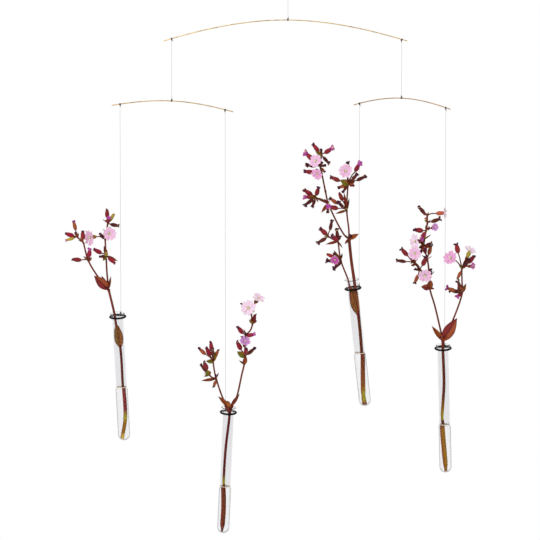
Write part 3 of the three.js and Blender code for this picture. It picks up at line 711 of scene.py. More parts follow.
def calyx_tree():
    """A ribbed calyx, an urn of length 1 and girth 1 with teeth round its mouth, at each given point."""
    tree = Growth("Ribbed calyx", ribs=10, rib_depth=0.09, teeth=5, tooth_length=0.07, mouth=0.5)
    mesh, u, v = tree.sheet(41, 15)
    angle = u * (2 * math.pi)
    belly = tree.curve(v, [(0, 0), (0.05, 0.4), (0.2, 0.8), (0.42, 1), (0.66, 0.86), (0.82, 0.62), (1, 0.5)])
    inner = tree.curve(v, [(0, 1), (0.86, 1), (0.93, 0.72), (1, 0)])
    height = tree.curve(v, [(0, 0), (0.3, 0.3), (0.6, 0.68), (0.86, 1), (0.93, 0.97), (1, 0.88)])
    fade = (v * math.pi).sin()
    rib = (angle * tree.size["ribs"]).cos() * tree.size["rib_depth"] * fade + 1.0
    wide = tree.curve(v, [(0, 0), (0.6, 0), (1, 1)]) * (tree.size["mouth"] - 0.5) + belly
    reach = wide * inner * rib
    tooth = (angle * tree.size["teeth"]).cos() * tree.size["tooth_length"]
    tooth = tooth * tree.curve(v, [(0, 0), (0.7, 0), (0.86, 1), (1, 0)])
    mesh = tree.bend(mesh, reach * angle.cos(), reach * angle.sin(), height + tooth)
    return tree.end(tree.planted(tree.closed(mesh)))


def claws_tree():
    """A ring of narrow petals that curl out over a calyx mouth, withered or furled, at each given point."""
    tree = Growth("Curled petals", claws=4, curl=1.9, breadth=1.0, ring=0.25, seed=3)
    mesh, u, v = tree.sheet(7, 8)
    round_way = u * (2 * math.pi)
    bend = v * tree.size["curl"]
    girth = ((v**0.6 * math.pi).sin().above(0.0)) ** 0.6 * tree.size["breadth"]
    out = girth * round_way.cos() * 0.5
    x = 1.0 - bend.cos() + out * bend.cos()
    z = bend.sin() - out * bend.sin()
    claw = tree.closed(tree.bend(mesh, x, girth * round_way.sin(), z))
    circle = tree.one("GeometryNodeMeshCircle", tree.size["claws"], tree.size["ring"])
    index = tree.one("GeometryNodeInputIndex")
    turn = index / tree.size["claws"] * (2 * math.pi)
    lengths = tree.one("FunctionNodeRandomValue", 0.5, 1.1, index, tree.size["seed"])
    sways = tree.one("FunctionNodeRandomValue", -0.35, 0.35, index, tree.size["seed"] + 5)
    turn = tree.one("FunctionNodeEulerToRotation", tree.vector(0.0, sways, turn))
    ring = tree.one("GeometryNodeInstanceOnPoints", circle, None, claw, None, None, turn,
                    tree.vector(lengths, lengths, lengths))
    return tree.end(tree.planted(ring))


def petals_tree():
    """Five petals, each cleft into two lobes, spread in a shallow dish of radius 1 at each given point."""
    tree = Growth("Cleft petals", petals=5, cleft=0.3, spread=0.78, dish=0.16, ruffle=0.09, thickness=0.03,
                  seed=1)
    mesh, u, v = tree.sheet(19, 10)
    across = u * 2.0 - 1.0
    aside = abs(across)
    notch = ((1.0 - aside * 3.0).above(0.0)) ** 1.2 * tree.size["cleft"]
    side = ((aside - 0.4).above(0.0) / 0.6) ** 2.4 * 0.4
    length = 1.0 - notch - side
    reach = (length - 0.04) * v + 0.04
    opening = tree.curve(v, [(0, 0.3), (0.25, 0.55), (0.6, 0.92), (1, 1)]) * tree.size["spread"]
    angle = across * opening
    wave = (across * 7.0).sin() * v**2 * tree.size["ruffle"]
    lift = reach**2 * tree.size["dish"] + wave
    petal = tree.bend(mesh, reach * angle.cos(), reach * angle.sin(), lift)
    petal = tree.thick(petal, tree.size["thickness"])
    circle = tree.one("GeometryNodeMeshCircle", tree.size["petals"], 0.02)
    index = tree.one("GeometryNodeInputIndex")
    tilt = tree.one("FunctionNodeRandomValue", -0.16, 0.12, index, tree.size["seed"])
    roll = tree.one("FunctionNodeRandomValue", 0.1, 0.24, index, tree.size["seed"] + 7)
    turn = tree.one("FunctionNodeEulerToRotation",
                    tree.vector(roll, tilt, index / tree.size["petals"] * (2 * math.pi)))
    size = tree.one("FunctionNodeRandomValue", 0.94, 1.1, index, tree.size["seed"] + 3)
    whorl = tree.one("GeometryNodeInstanceOnPoints", circle, None, petal, None, None, turn,
                     tree.vector(size, size, size))
    return tree.end(tree.planted(whorl))


def blade_tree():
    """A lance-shaped leaf, creased along its midrib, of length 1 and half width 1 at each given point."""
    tree = Growth("Leaf blade", across=9, along=15, fold=0.3, cup=0.0, droop=0.12, teeth=0.04,
                  thickness=0.04)
    mesh, u, v = tree.sheet(tree.size["across"], tree.size["along"])
    across = u * 2.0 - 1.0
    aside = abs(across)
    outline = tree.curve(v, [(0, 0.14), (0.1, 0.42), (0.3, 0.88), (0.45, 1), (0.7, 0.74), (0.9, 0.28),
                             (1, 0.03)])
    saw = tree.math("FRACT", v * 13.0) * tree.size["teeth"] * aside
    wide = outline * (1.0 + saw)
    wave = (v * 8.0).sin() * 0.05 * aside
    lift = aside * wide * tree.size["fold"] - across**2.0 * tree.size["cup"] + wave
    sink = v**2 * (1.0 - v) * tree.size["droop"]
    mesh = tree.bend(mesh, across * wide, v, lift * 0.35 - sink)
    return tree.end(tree.planted(tree.thick(mesh, tree.size["thickness"]), "Y", "Z"))


def object_of(name, mesh):
    made = bpy.data.objects.new(name, mesh)
    bpy.context.scene.collection.objects.link(made)
    return made


def put(mesh, name, kind, values):
    """Stores one value for each point of a mesh."""
    layer = mesh.attributes.new(name, kind, "POINT")
    key = {"FLOAT": "value", "FLOAT_VECTOR": "vector", "FLOAT_COLOR": "color"}[kind]
    flat = values if kind == "FLOAT" else [number for value in values for number in value]
    layer.data.foreach_set(key, flat)


def outward(mesh):
    """Merges doubled points and turns every face of the closed shells outwards."""
    work = bmesh.new()
    work.from_mesh(mesh)
    bmesh.ops.remove_doubles(work, verts=work.verts, dist=1e-7)
    bmesh.ops.recalc_face_normals(work, faces=work.faces)
    work.to_mesh(mesh)
    work.free()


def grown(name, start, tree, material, **sizes):
    """Runs a tree on a mesh of points or lines, and keeps what grows as a plain mesh."""
    made = object_of(name, start)
    modifier = made.modifiers.new("growth", "NODES")
    modifier.node_group = tree.tree
    for key, value in dict(sizes, material=material).items():
        modifier[tree.keys[key]] = value
    graph = bpy.context.evaluated_depsgraph_get()
    shown = made.evaluated_get(graph)
    mesh = bpy.data.meshes.new_from_object(shown, preserve_all_data_layers=True, depsgraph=graph)
    made.modifiers.clear()
    made.data = mesh
    bpy.data.meshes.remove(start)
    outward(mesh)
    return made


def lines_mesh(name, lines, thickness=None, tints=None):
    """Lines of points, in metres, each with a thickness and a tint where they are given."""
    points = [point for line in lines for point in line]
    edges = []
    start = 0
    for line in lines:
        edges += [(start + i, start + i + 1) for i in range(len(line) - 1)]
        start += len(line)
    mesh = bpy.data.meshes.new(name)
    mesh.from_pydata(points, edges, [])
    if thickness:
        put(mesh, "thickness", "FLOAT", [value for line in thickness for value in line])
    if tints:
        put(mesh, "tint", "FLOAT_COLOR", [value for line in tints for value in line])
    return mesh


def spots_mesh(name, spots):
    """Points that carry a direction, a side, a size and a tint."""
    mesh = bpy.data.meshes.new(name)
    mesh.from_pydata([spot["place"] for spot in spots], [], [])
    for key in ("facing", "side", "size"):
        put(mesh, key, "FLOAT_VECTOR", [spot[key] for spot in spots])
    put(mesh, "tint", "FLOAT_COLOR", [spot["tint"] for spot in spots])
    return mesh


def stands_for(piece, slot, *nodes, body=None):
    """Hangs a piece on its body in place of the solids that it stands for. The slot is not used."""
    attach(piece, body or BODY_OF[nodes[0]])
    if nodes:
        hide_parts(*nodes)
    return piece


class Finish(Wiring):
    """A material's nodes: a pattern that drives one Principled shader."""

    def __init__(self, name, **shader):
        self.material = bpy.data.materials.new(name)
        self.material.use_nodes = True
        super().__init__(self.material.node_tree)
        self.bsdf = self.tree.nodes["Principled BSDF"]
        for key, value in shader.items():
            self.set(key.replace("_", " ").title().replace("Ior", "IOR"), value)

    def set(self, socket, value):
        self.join(value, self.bsdf.inputs[socket])

    def coords(self, scale=(1, 1, 1), kind="Object"):
        node = self.tree.nodes.new("ShaderNodeTexCoord")
        return self.one("ShaderNodeMapping", node.outputs[kind], named={"Scale": scale})

    def uv(self):
        u, v, _ = self.parts(self.coords((1, 1, 1), "UV"))
        return u, v

    def noise(self, vector, scale, detail=3.0):
        return self.one("ShaderNodeTexNoise", named={"Vector": vector, "Scale": scale, "Detail": detail})

    def grain(self, scale, detail=3.0):
        """Noise that is as fine one way as another."""
        return self.noise(self.coords(), scale, detail)

    def mix(self, factor, first, second):
        return self.one("ShaderNodeMix", factor, first, second, data_type="RGBA")

    def spread(self, value, low, high, to_low=0.0, to_high=1.0):
        return self.one("ShaderNodeMapRange", value, low, high, to_low, to_high)

    def tint(self):
        return self.one("ShaderNodeAttribute", attribute_name="tint")

    def lets_light_in(self):
        """Light on its way to what stands inside passes straight through, unbent and untinted."""
        ray = self.tree.nodes.new("ShaderNodeLightPath").outputs
        lit = Field(self, ray["Is Shadow Ray"]) + Field(self, ray["Is Diffuse Ray"])
        self.set("Alpha", 1.0 - self.math("MINIMUM", lit, 1.0))

    def darker_edge(self, low, high, dark):
        """White where it is seen face on, and painted grey shade where it is seen at a grazing angle."""
        grazing = self.add("ShaderNodeLayerWeight", 0.5)[1]
        self.set("Base Color", self.mix(self.spread(grazing, low, high), WHITE, dark))

    def bump(self, height, strength, distance):
        self.set("Normal", self.one("ShaderNodeBump", named={
            "Strength": strength, "Distance": distance, "Height": height}))


def brass_finish():
    made = Finish("drawn_brass", metallic=1.0, anisotropic=0.35)
    streaks = made.noise(made.coords((60, 3000, 3000)), 1.0, 2.0)
    patches = made.grain(140.0)
    # The tint carries each arm's painted shade.
    worn = made.mix(made.spread(patches, 0.42, 0.68), made.tint(), paint(120, 84, 40))
    made.set("Base Color", made.mix(made.spread(streaks, 0.3, 0.7, 0.0, 0.35), worn, paint(236, 206, 146)))
    made.set("Roughness", made.spread(streaks, 0.2, 0.8, 0.24, 0.42))
    made.bump(streaks, 0.25, 0.00002)
    return made.material


def thread_finish(name, light, dark):
    made = Finish(name, sheen_weight=0.3, sheen_roughness=0.5)
    fibres = made.noise(made.coords((2500, 2500, 700)), 1.0, 2.0)
    slubs = made.grain(90.0)
    shade = made.spread(fibres, 0.3, 0.7) * 0.6 + made.spread(slubs, 0.3, 0.7) * 0.4
    made.set("Base Color", made.mix(shade, dark, light))
    made.set("Roughness", made.spread(fibres, 0.2, 0.8, 0.7, 0.95))
    made.bump(fibres, 0.4, 0.00004)
    return made.material


def rubber_finish():
    made = Finish("black_rubber", specular_ior_level=0.06)
    grain = made.grain(1800.0, 2.0)
    bloom = made.grain(160.0)
    made.set("Base Color", made.mix(made.spread(bloom, 0.45, 0.75), paint(6, 6, 7), paint(15, 15, 16)))
    made.set("Roughness", made.spread(bloom, 0.3, 0.7, 0.45, 0.6))
    made.bump(grain, 0.12, 0.00005)
    return made.material


def smeared_glass(name):
    """Glass with faint smears, without its colour, and the pattern of the smears."""
    made = Finish(name, transmission_weight=1.0, ior=GLASS_IOR)
    smears = made.noise(made.coords((1, 1, 0.3)), 70.0)
    made.set("Roughness", made.spread(smears, 0.66, 0.85, 0.0, 0.01))
    made.lets_light_in()
    return made, smears


def glass_finish(name, dull, bright):
    made, smears = smeared_glass(name)
    made.set("Base Color", made.mix(made.spread(smears, 0.35, 0.7), dull, bright))
    return made.material


def wet_finish():
    """The outside of the glass where there is water behind it, with painted grey shade towards its outline."""
    made, _ = smeared_glass("wet_glass")
    made.darker_edge(0.45, 0.65, paint(118, 118, 120))
    return made.material


def lip_finish():
    made = Finish("polished_lip", transmission_weight=1.0, ior=LIP_IOR)
    waves = made.grain(300.0)
    dull, bright = paint(222, 218, 210), paint(240, 238, 232)
    made.set("Base Color", made.mix(made.spread(waves, 0.4, 0.6), dull, bright))
    made.set("Roughness", made.spread(waves, 0.3, 0.7, 0.0, 0.05))
    made.lets_light_in()
    return made.material


def water_finish():
    made = Finish("still_water", transmission_weight=1.0, ior=WATER_IOR, specular_tint=paint(150, 150, 150))
    # Painted shade: the water turns grey towards its outline.
    made.darker_edge(0.6, 0.95, paint(176, 176, 178))
    ripple = made.grain(60.0)
    made.set("Roughness", made.spread(ripple, 0.68, 0.85, 0.0, 0.006))
    made.lets_light_in()
    return made.material


# Painted highlight: the bright line of light at the water's edge, as an opaque cream ring.
def waterline_glint_finish():
    made = Finish("water_edge", specular_ior_level=0.2)
    glints = made.grain(320.0)
    dull, bright = paint(248, 236, 212), paint(255, 251, 242)
    made.set("Base Color", made.mix(made.spread(glints, 0.4, 0.65), dull, bright))
    made.set("Roughness", made.spread(glints, 0.3, 0.7, 0.3, 0.5))
    return made.material


def stem_finish():
    made = Finish("campion_stem", specular_ior_level=0.15)
    streaks = made.noise(made.coords((400, 400, 30)), 1.0)
    specks = made.grain(500.0, 2.0)
    shaded = made.mix(made.spread(streaks, 0.45, 0.75, 0.0, 0.3), made.tint(), paint(70, 20, 16))
    # Painted light: faces that turn to the left, towards the lamp, are painted a lighter red-brown.
    side = made.parts(made.coords((1, 1, 1), "Normal"))[0]
    shaded = made.mix(made.spread(side, -0.2, -0.5, 0.0, 0.55), shaded, paint(128, 46, 26))
    made.set("Base Color", made.mix(made.spread(specks, 0.62, 0.8, 0.0, 0.08), shaded, paint(186, 122, 84)))
    made.set("Roughness", made.spread(streaks, 0.2, 0.8, 0.45, 0.7))
    made.bump(specks, 0.1, 0.0001)
    return made.material


def calyx_finish():
    made = Finish("hairy_calyx", sheen_weight=0.04, specular_ior_level=0.2)
    u, v = made.uv()
    vein = made.spread((u * (20 * math.pi)).cos(), 0.2, 1.0)
    mottle = made.grain(500.0)
    shaded = made.mix(made.spread(v + mottle * 0.3, 0.2, 0.5, 0.45, 0.0), made.tint(), paint(150, 92, 46))
    shaded = made.mix(vein * 0.45, shaded, paint(80, 12, 32))
    shaded = made.mix(made.spread(mottle, 0.5, 0.75, 0.0, 0.2), shaded, paint(176, 70, 60))
    made.set("Base Color", made.mix(made.spread(v, 0.72, 0.95, 0.0, 0.6), shaded, paint(58, 18, 34)))
    made.set("Roughness", made.spread(mottle, 0.2, 0.8, 0.5, 0.75))
    made.bump(made.grain(1500.0, 2.0), 0.35, 0.0002)
    return made.material


def withered_finish():
    made = Finish("curled_petal", specular_ior_level=0.2)
    _, v = made.uv()
    mottle = made.grain(800.0)
    shaded = made.mix(made.spread(mottle, 0.45, 0.75, 0.0, 0.35), made.tint(), paint(34, 10, 28))
    flecks = made.spread(made.grain(170.0), 0.48, 0.6)
    made.set("Base Color", made.mix(made.spread(v, 0.7, 0.9) * flecks, shaded, paint(240, 196, 140)))
    made.set("Roughness", made.spread(mottle, 0.2, 0.8, 0.55, 0.85))
    made.bump(mottle, 0.4, 0.0002)
    return made.material


def petal_finish():
    made = Finish("campion_petal", sheen_weight=0.05, specular_ior_level=0.25, subsurface_weight=0.12,
                  subsurface_scale=0.001)
    u, v = made.uv()
    veins = made.noise(made.vector(u * 26.0, v * 1.6, 0.0), 1.0, 2.0)
    body = made.mix(made.spread(veins, 0.5, 0.7, 0.0, 0.45), made.tint(), paint(224, 128, 200))
    body = made.mix(made.spread(v, 0.75, 1.0, 0.0, 0.4), body, paint(250, 226, 240))
    made.set("Base Color", made.mix(made.spread(v, 0.05, 0.28), paint(252, 236, 206), body))
    made.set("Roughness", made.spread(veins, 0.2, 0.8, 0.5, 0.7))
    made.bump(veins, 0.25, 0.0002)
    return made.material


def corona_finish():
    made = Finish("flower_throat", sheen_weight=0.1, subsurface_weight=0.1, subsurface_scale=0.001)
    grain = made.grain(1200.0, 2.0)
    made.set("Base Color", made.mix(made.spread(grain, 0.4, 0.7), made.tint(), paint(250, 226, 150)))
    made.set("Roughness", made.spread(grain, 0.2, 0.8, 0.5, 0.8))
    return made.material


def leaf_finish():
    made = Finish("campion_leaf", specular_ior_level=0.15, subsurface_weight=0.04, subsurface_scale=0.001)
    u, v = made.uv()
    aside = abs(u * 2.0 - 1.0)
    mottle = made.grain(260.0)
    veins = made.spread(((v - aside * 0.2) * 30.0).sin(), 0.85, 1.0) * made.spread(aside, 0.02, 0.2)
    # The half of the blade past its midrib is a lighter orange-brown.
    lighter_half = made.spread(u + mottle * 0.2, 0.58, 0.68, 0.0, 0.6)
    blade = made.mix(lighter_half, made.tint(), paint(178, 96, 44))
    blade = made.mix(made.spread(mottle, 0.45, 0.72, 0.0, 0.35), blade, paint(92, 26, 22))
    blade = made.mix(veins * 0.2, blade, paint(190, 100, 70))
    blade = made.mix(made.spread(aside, 0.72, 1.0, 0.0, 0.75), blade, paint(78, 22, 16))
    made.set("Base Color", made.mix(made.spread(aside, 0.04, 0.14, 0.7, 0.0), blade, paint(76, 20, 16)))
    made.set("Roughness", made.spread(mottle, 0.2, 0.8, 0.42, 0.62))
    made.bump(veins + mottle * 0.5, 0.2, 0.0002)
    return made.material


def floor_finish():
    made = Finish("pale_floor", roughness=0.8)
    grain = made.grain(6.0)
    made.set("Base Color", made.mix(grain, paint(236, 236, 235), paint(241, 241, 240)))
    return made.material


# Camera
def add_camera():
    data = bpy.data.cameras.new("camera")
    data.sensor_width = SENSOR_WIDTH
    data.lens = LENS
    camera = bpy.data.objects.new("camera", data)
    back = Vector((0, -math.cos(VIEW_ANGLE), math.sin(VIEW_ANGLE)))
    camera.location = (AIM + back * VIEW_DISTANCE) * MM
    camera.rotation_euler = (-back).to_track_quat("-Z", "Y").to_euler()
    bpy.context.scene.collection.objects.link(camera)
    bpy.context.scene.camera = camera


add_camera()

# Threads
LAID_THREAD = laid_thread_tree()
GREY_THREAD = thread_finish("grey_thread", paint(196, 194, 190), paint(120, 118, 116))
# The knots are a dark brown thread.
DARK_KNOT_THREAD = thread_finish("waxed_knot", paint(74, 58, 48), paint(24, 18, 16))


def trefoil(centre, along, side):
    """The line of a tied thread: a tight knot that closes on itself."""
    third = along.cross(side)
    line = []
    for i in range(BEAD_POINTS):
        t = i / (BEAD_POINTS - 1) * 2 * math.pi
        x = math.sin(t) + 2 * math.sin(2 * t)
        y = math.cos(t) - 2 * math.cos(2 * t)
        z = -1.5 * math.sin(3 * t)
        line.append(centre + (side * x + third * y + along * z) * BEAD_SCALE)
    return line


def in_metres(lines):
    return [[point * MM for point in line] for line in lines]


def add_thread(node, exit_at_top):
    """A straight taut thread where the CAD has it, run on into the knots at both its ends."""
    low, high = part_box(node)
    x, y = (low.x + high.x) / 2, (low.y + high.y) / 2
    top, bottom = high.z + THREAD_OVERLAP * MM, low.z - THREAD_OVERLAP * MM
    path = [Vector((x, y, top + (bottom - top) * i / THREAD_STEPS)) for i in range(THREAD_STEPS + 1)]
    if not exit_at_top:
        path.reverse()
    piece = grown(node.replace("_thread", "") + "_line", lines_mesh(node, [path]), LAID_THREAD, GREY_THREAD)
    stands_for(piece, "thread", node)


def add_loop():
    """The loop at the top that hangs over a hook, and the knot that closes it."""
    half, foot = LOOP_WIDTH / 2, -LOOP_LENGTH
    side = [(0, foot + 0.5), (half * 0.45, foot * 0.72), (half * 0.9, foot * 0.4), (half, foot * 0.2),
            (half * 0.7, foot * 0.04)]
    way = [Vector((-x, 0, z)) for x, z in side]
    way += [Vector((0, 0, THREAD_RADIUS))]
    way += [Vector((x, 0, z)) for x, z in reversed(side)]
    lines = [smooth_way(way, LOOP_STEPS), trefoil(Vector((0, 0, foot)), UP, Vector((1, 0, 0)))]
    loop = grown("hook_loop", lines_mesh("loop", in_metres(lines)), LAID_THREAD, GREY_THREAD)
    return stands_for(loop, "thread", "hanging_loop")


def smooth_way(points, steps):
    """A smooth way through points that keeps close to them where they are close together."""
    ends = [2 * points[0] - points[1], *points, 2 * points[-1] - points[-2]]
    way = []
    for before, start, stop, after in zip(ends, ends[1:], ends[2:], ends[3:]):
        first, mid, last = (math.sqrt((b - a).length) for a, b in
                            ((before, start), (start, stop), (stop, after)))
        leave = ((start - before) / first - (stop - before) / (first + mid) + (stop - start) / mid) * mid
        reach = ((stop - start) / mid - (after - start) / (mid + last) + (after - stop) / last) * mid
        for i in range(steps):
            t = i / steps
            way.append(start * (2 * t**3 - 3 * t**2 + 1) + leave * (t**3 - 2 * t**2 + t)
                       + stop * (3 * t**2 - 2 * t**3) + reach * (t**3 - t**2))
    return [*way, points[-1]]


hook_loop = add_loop()
add_thread("top_thread", False)
for node in ("left_drop_thread", "right_drop_thread", *(f"vase_thread_{i + 1}" for i in range(4))):
    add_thread(node, True)

# Wire arms and the knots on them
ROD = rod_tree()
BRASS = brass_finish()
# The three arms are one brass. Their tints are painted shade: the main arm lightest, the left arm darker, the
# right arm darkest.
ARM_SHADES = {"main": paint(214, 180, 108), "left": paint(196, 158, 86), "right": paint(172, 128, 70)}


def arm_drop(arm, along):
    """How far the wire hangs below its crown, as bent in the making and by the weight at its ends."""
    share = 2 * abs(along / arm["span"] - arm["middle"])
    loaded = (3 * share**2 - share**3) / 2
    return arm["span"] * arm["sag"] * (BEND_SHARE * loaded + (1 - BEND_SHARE) * share**2)


def arm_frame(name):
    """A function that gives the wire's place in the frame at a length along the arm."""
    arm = ARMS[name]
    place = Vector(JOINTS[name + "_arm_tilt"]["pos_m"]) / MM
    tilt = Matrix.Rotation(math.radians(arm["tilt"]), 3, "Y")
    turn = Matrix.Rotation(math.radians(arm["turn"]), 3, "Z") @ tilt
    return lambda along: place + turn @ Vector((along, 0, arm_drop(arm, 0) - arm_drop(arm, along)))


def add_knot(name, node, place, core, way, bead_side):
    """Turns of dark brown thread round a core, the tied bead to one side of it, and the cut end of the thread."""
    way = way.normalized()
    side = (bead_side - way * bead_side.dot(way)).normalized()
    third = way.cross(side)
    inner = core + KNOT_STRAND * KNOT_PRESS
    winding = []
    steps = WINDINGS * WINDING_STEPS
    for i in range(steps + 1):
        angle = i / steps * WINDINGS * 2 * math.pi
        along = (i / steps - 0.5) * WINDING_WIDTH
        winding.append(place + way * along + (side * math.cos(angle) + third * math.sin(angle)) * inner)
    bead = place + side * (core + BEAD_OFFSET)
    tail = [bead + third * 0.5, bead + (third + side * 0.9 + way * 0.3) * (KNOT_TAIL * 0.35),
            bead + (third * 0.7 + side * 1.3 + way * 0.5) * (KNOT_TAIL * 0.6)]
    turns = lines_mesh(name, in_metres([winding, smooth_way(tail, TAIL_STEPS)]))
    wound = grown(name + "_winding", turns, LAID_THREAD, DARK_KNOT_THREAD, thread_radius=KNOT_STRAND * MM)
    tied = lines_mesh(name, in_metres([trefoil(bead, side, way)]))
    tied = grown(name + "_bead", tied, LAID_THREAD, DARK_KNOT_THREAD, thread_radius=BEAD_STRAND * MM)
    stands_for(wound, "knot", node)
    stands_for(tied, "knot", body=BODY_OF[node])


def add_arm(name):
    arm = ARMS[name]
    point = arm_frame(name)
    line = []
    thickness = []
    for i in range(WIRE_STEPS + 1):
        share = arm["middle"] + i / WIRE_STEPS - 0.5
        line.append(point(arm["span"] * share) * MM)
        thickness.append(WIRE_RADIUS * MM)
    for end, inner in ((0, 1), (-1, -2)):
        way = (line[end] - line[inner]).normalized() * MM
        tips = [(line[end] + way * past, WIRE_RADIUS * MM * share) for past, share in WIRE_TIP]
        if end == 0:
            line[:0] = [tip for tip, _ in reversed(tips)]
            thickness[:0] = [share for _, share in reversed(tips)]
        else:
            line += [tip for tip, _ in tips]
            thickness += [share for _, share in tips]
    tints = [[ARM_SHADES[name]] * len(line)]
    wire = grown(name + "_wire", lines_mesh(name, [line], [thickness], tints), ROD, BRASS)
    stands_for(wire, "brass_wire", name + "_arm")
    places = {"centre": (0, UP), "left": (arm["reach"][0], -UP), "right": (arm["reach"][1], -UP)}
    for side, (share, bead_side) in places.items():
        along = share * arm["span"]
        way = point(along + NEARBY) - point(along - NEARBY)
        add_knot(f"{name}_{side}_knot", f"{name}_arm_{side}_knot", point(along), WIRE_RADIUS, way, bead_side)


for name in ARMS:
    add_arm(name)


# Rings, vases and water
def middle_of(points):
    """The middle of points, each place counted once."""
    places = {tuple(round(number, 6) for number in point) for point in points}
    return Vector(sum(place[i] for place in places) / len(places) for i in range(3))


class Hung:
    """Where a vase hangs: turns places in millimetres above its mouth into metres in the frame, and back."""

    def __init__(self, number):
        self.axis = Vector(JOINTS[f"sprig_lift_{number}"]["axis"]).normalized()
        self.turn = UP.rotation_difference(self.axis)
        corners = [vertex.co for vertex in frame["nodes"][f"glass_vase_{number}"].data.vertices]
        rim = max(corner.dot(self.axis) for corner in corners)
        self.mouth = middle_of(corner for corner in corners if corner.dot(self.axis) > rim - 1e-5)

    def place(self, point):
        return self.mouth + self.turn @ Vector(point) * MM

    def inside(self, place):
        return self.turn.inverted() @ (place - self.mouth) / MM

    def way(self, direction):
        return self.turn @ Vector(direction)


def turned(name, profile, segments, place, looped=False):
    """A profile of (radius, height) points turned about an axis, as a closed mesh."""
    points = [place((r * math.cos(a), r * math.sin(a), h)) for r, h in profile
              for a in (2 * math.pi * i / segments for i in range(segments))]
    rows = len(profile)
    faces = []
    for row in range(rows if looped else rows - 1):
        low, high = row * segments, (row + 1) % rows * segments
        for i in range(segments):
            j = (i + 1) % segments
            faces.append((low + i, low + j, high + j, high + i))
    mesh = bpy.data.meshes.new(name)
    mesh.from_pydata(points, [], faces)
    outward(mesh)
    mesh.shade_smooth()
    return object_of(name, mesh)


def bowl(radius):
    """The round bottom, from its lowest point up to the wall."""
    angles = [i / BOWL_STEPS * math.pi / 2 for i in range(BOWL_STEPS + 1)]
    return [(radius * math.sin(a), -VASE_LENGTH + VASE_RADIUS - radius * math.cos(a)) for a in angles]


def vase_profile(surface):
    """A round bottom, a straight wall and a flared lip with a fire-polished edge.

    The wall has a row of points at the water's surface, on both its sides.
    """
    flare = [i / LIP_STEPS for i in range(LIP_STEPS + 1)]
    outside = [(VASE_RADIUS + OUTER_FLARE * t**2, -LIP_HEIGHT + OUTER_RISE * t) for t in flare]
    inside = [(BORE_RADIUS + INNER_FLARE * t**2, -LIP_HEIGHT + INNER_RISE * t) for t in reversed(flare)]
    middle = LIP_RADIUS - EDGE_RADIUS
    edge = [(middle + EDGE_RADIUS * math.cos(a), -EDGE_RADIUS + EDGE_RADIUS * math.sin(a))
            for a in map(math.radians, EDGE_ANGLES)]
    length = VASE_LENGTH - LIP_HEIGHT - VASE_RADIUS
    wall = [-LIP_HEIGHT - length * i / WALL_STEPS for i in range(1, WALL_STEPS)]
    wall = sorted([*wall, surface], reverse=True)
    return [*bowl(VASE_RADIUS), *((VASE_RADIUS, h) for h in reversed(wall)), *outside, *edge, *inside,
            *((BORE_RADIUS, h) for h in wall), *reversed(bowl(BORE_RADIUS))]


def add_water(number, hung, depth):
    """The water, which fills the bore to a level surface, and a painted highlight where it climbs the glass: a
    real meniscus drawn as an opaque cream ring.
    """
    level = hung.turn.inverted() @ UP
    surface = depth - VASE_LENGTH + VASE_WALL
    radius = BORE_RADIUS - WATER_GAP

    def on_surface(point):
        x, y, height = point
        return hung.place((x, y, surface - (level.x * x + level.y * y) / level.z + height))

    def in_water(point):
        under = point[2] < surface - WATER_BAND
        return hung.place(point) if under else on_surface((*point[:2], point[2] - surface))

    low, high = -VASE_LENGTH + VASE_RADIUS, surface - WATER_BAND
    wall = [low + (high - low) * (i + 1) / WATER_STEPS - HAIR for i in range(WATER_STEPS)]
    profile = [*bowl(radius), *((radius, h) for h in wall), (radius, surface - WATER_ROUNDING),
               (radius - WATER_ROUNDING / 2, surface), *((radius * share, surface) for share in WATER_RINGS)]
    water = turned(f"vase_water_{number}", profile, VASE_SEGMENTS, in_water)
    water.data.set_sharp_from_angle(angle=SHARP_ANGLE)
    water.data.materials.append(WATER)
    stands_for(water, "water", f"water_{number}")
    climb = [(0, 0), (0, MENISCUS), (-MENISCUS_WIDTH * 0.3, MENISCUS * 0.6),
             (-MENISCUS_WIDTH, MENISCUS_FOOT), (-MENISCUS_WIDTH, 0)]
    climb = [(radius + r, h + MENISCUS_LIFT) for r, h in climb]
    edge = turned(f"water_edge_{number}", climb, VASE_SEGMENTS, on_surface, looped=True)
    edge.data.materials.append(WATERLINE_GLINT)
    stands_for(edge, "water", body=BODY_OF[f"water_{number}"])


RUBBER = rubber_finish()
WATER = water_finish()
WATERLINE_GLINT = waterline_glint_finish()
# The bore's grey tints are painted shade, darker above the water than below it.
VASE_FINISHES = {
    "dry_outside": glass_finish("clear_glass", paint(253, 253, 253), WHITE),
    "lip": lip_finish(),
    "dry_bore": glass_finish("hazed_bore", paint(226, 226, 229), paint(231, 231, 233)),
    "wet_outside": wet_finish(),
    "wet_bore": glass_finish("wet_bore", paint(238, 238, 240), paint(243, 243, 245)),
}


def add_glass(number, hung, surface):
    """The glass, in finishes that differ inside and outside, above and below the water's surface."""
    profile = vase_profile(surface)
    glass = turned(f"vase_glass_{number}", profile, VASE_SEGMENTS, hung.place)
    for finish in VASE_FINISHES.values():
        glass.data.materials.append(finish)
    finishes = list(VASE_FINISHES)
    rim = max(range(len(profile)), key=lambda row: profile[row][1])
    for face in glass.data.polygons:
        row = face.index // VASE_SEGMENTS
        height = profile[row][1]
        bore = row > rim
        dry = height > surface if bore else height >= surface
        where = ("dry_" if dry else "wet_") + ("bore" if bore else "outside")
        face.material_index = finishes.index("lip" if height > -LIP_BAND else where)
    stands_for(glass, "glass", f"glass_vase_{number}")


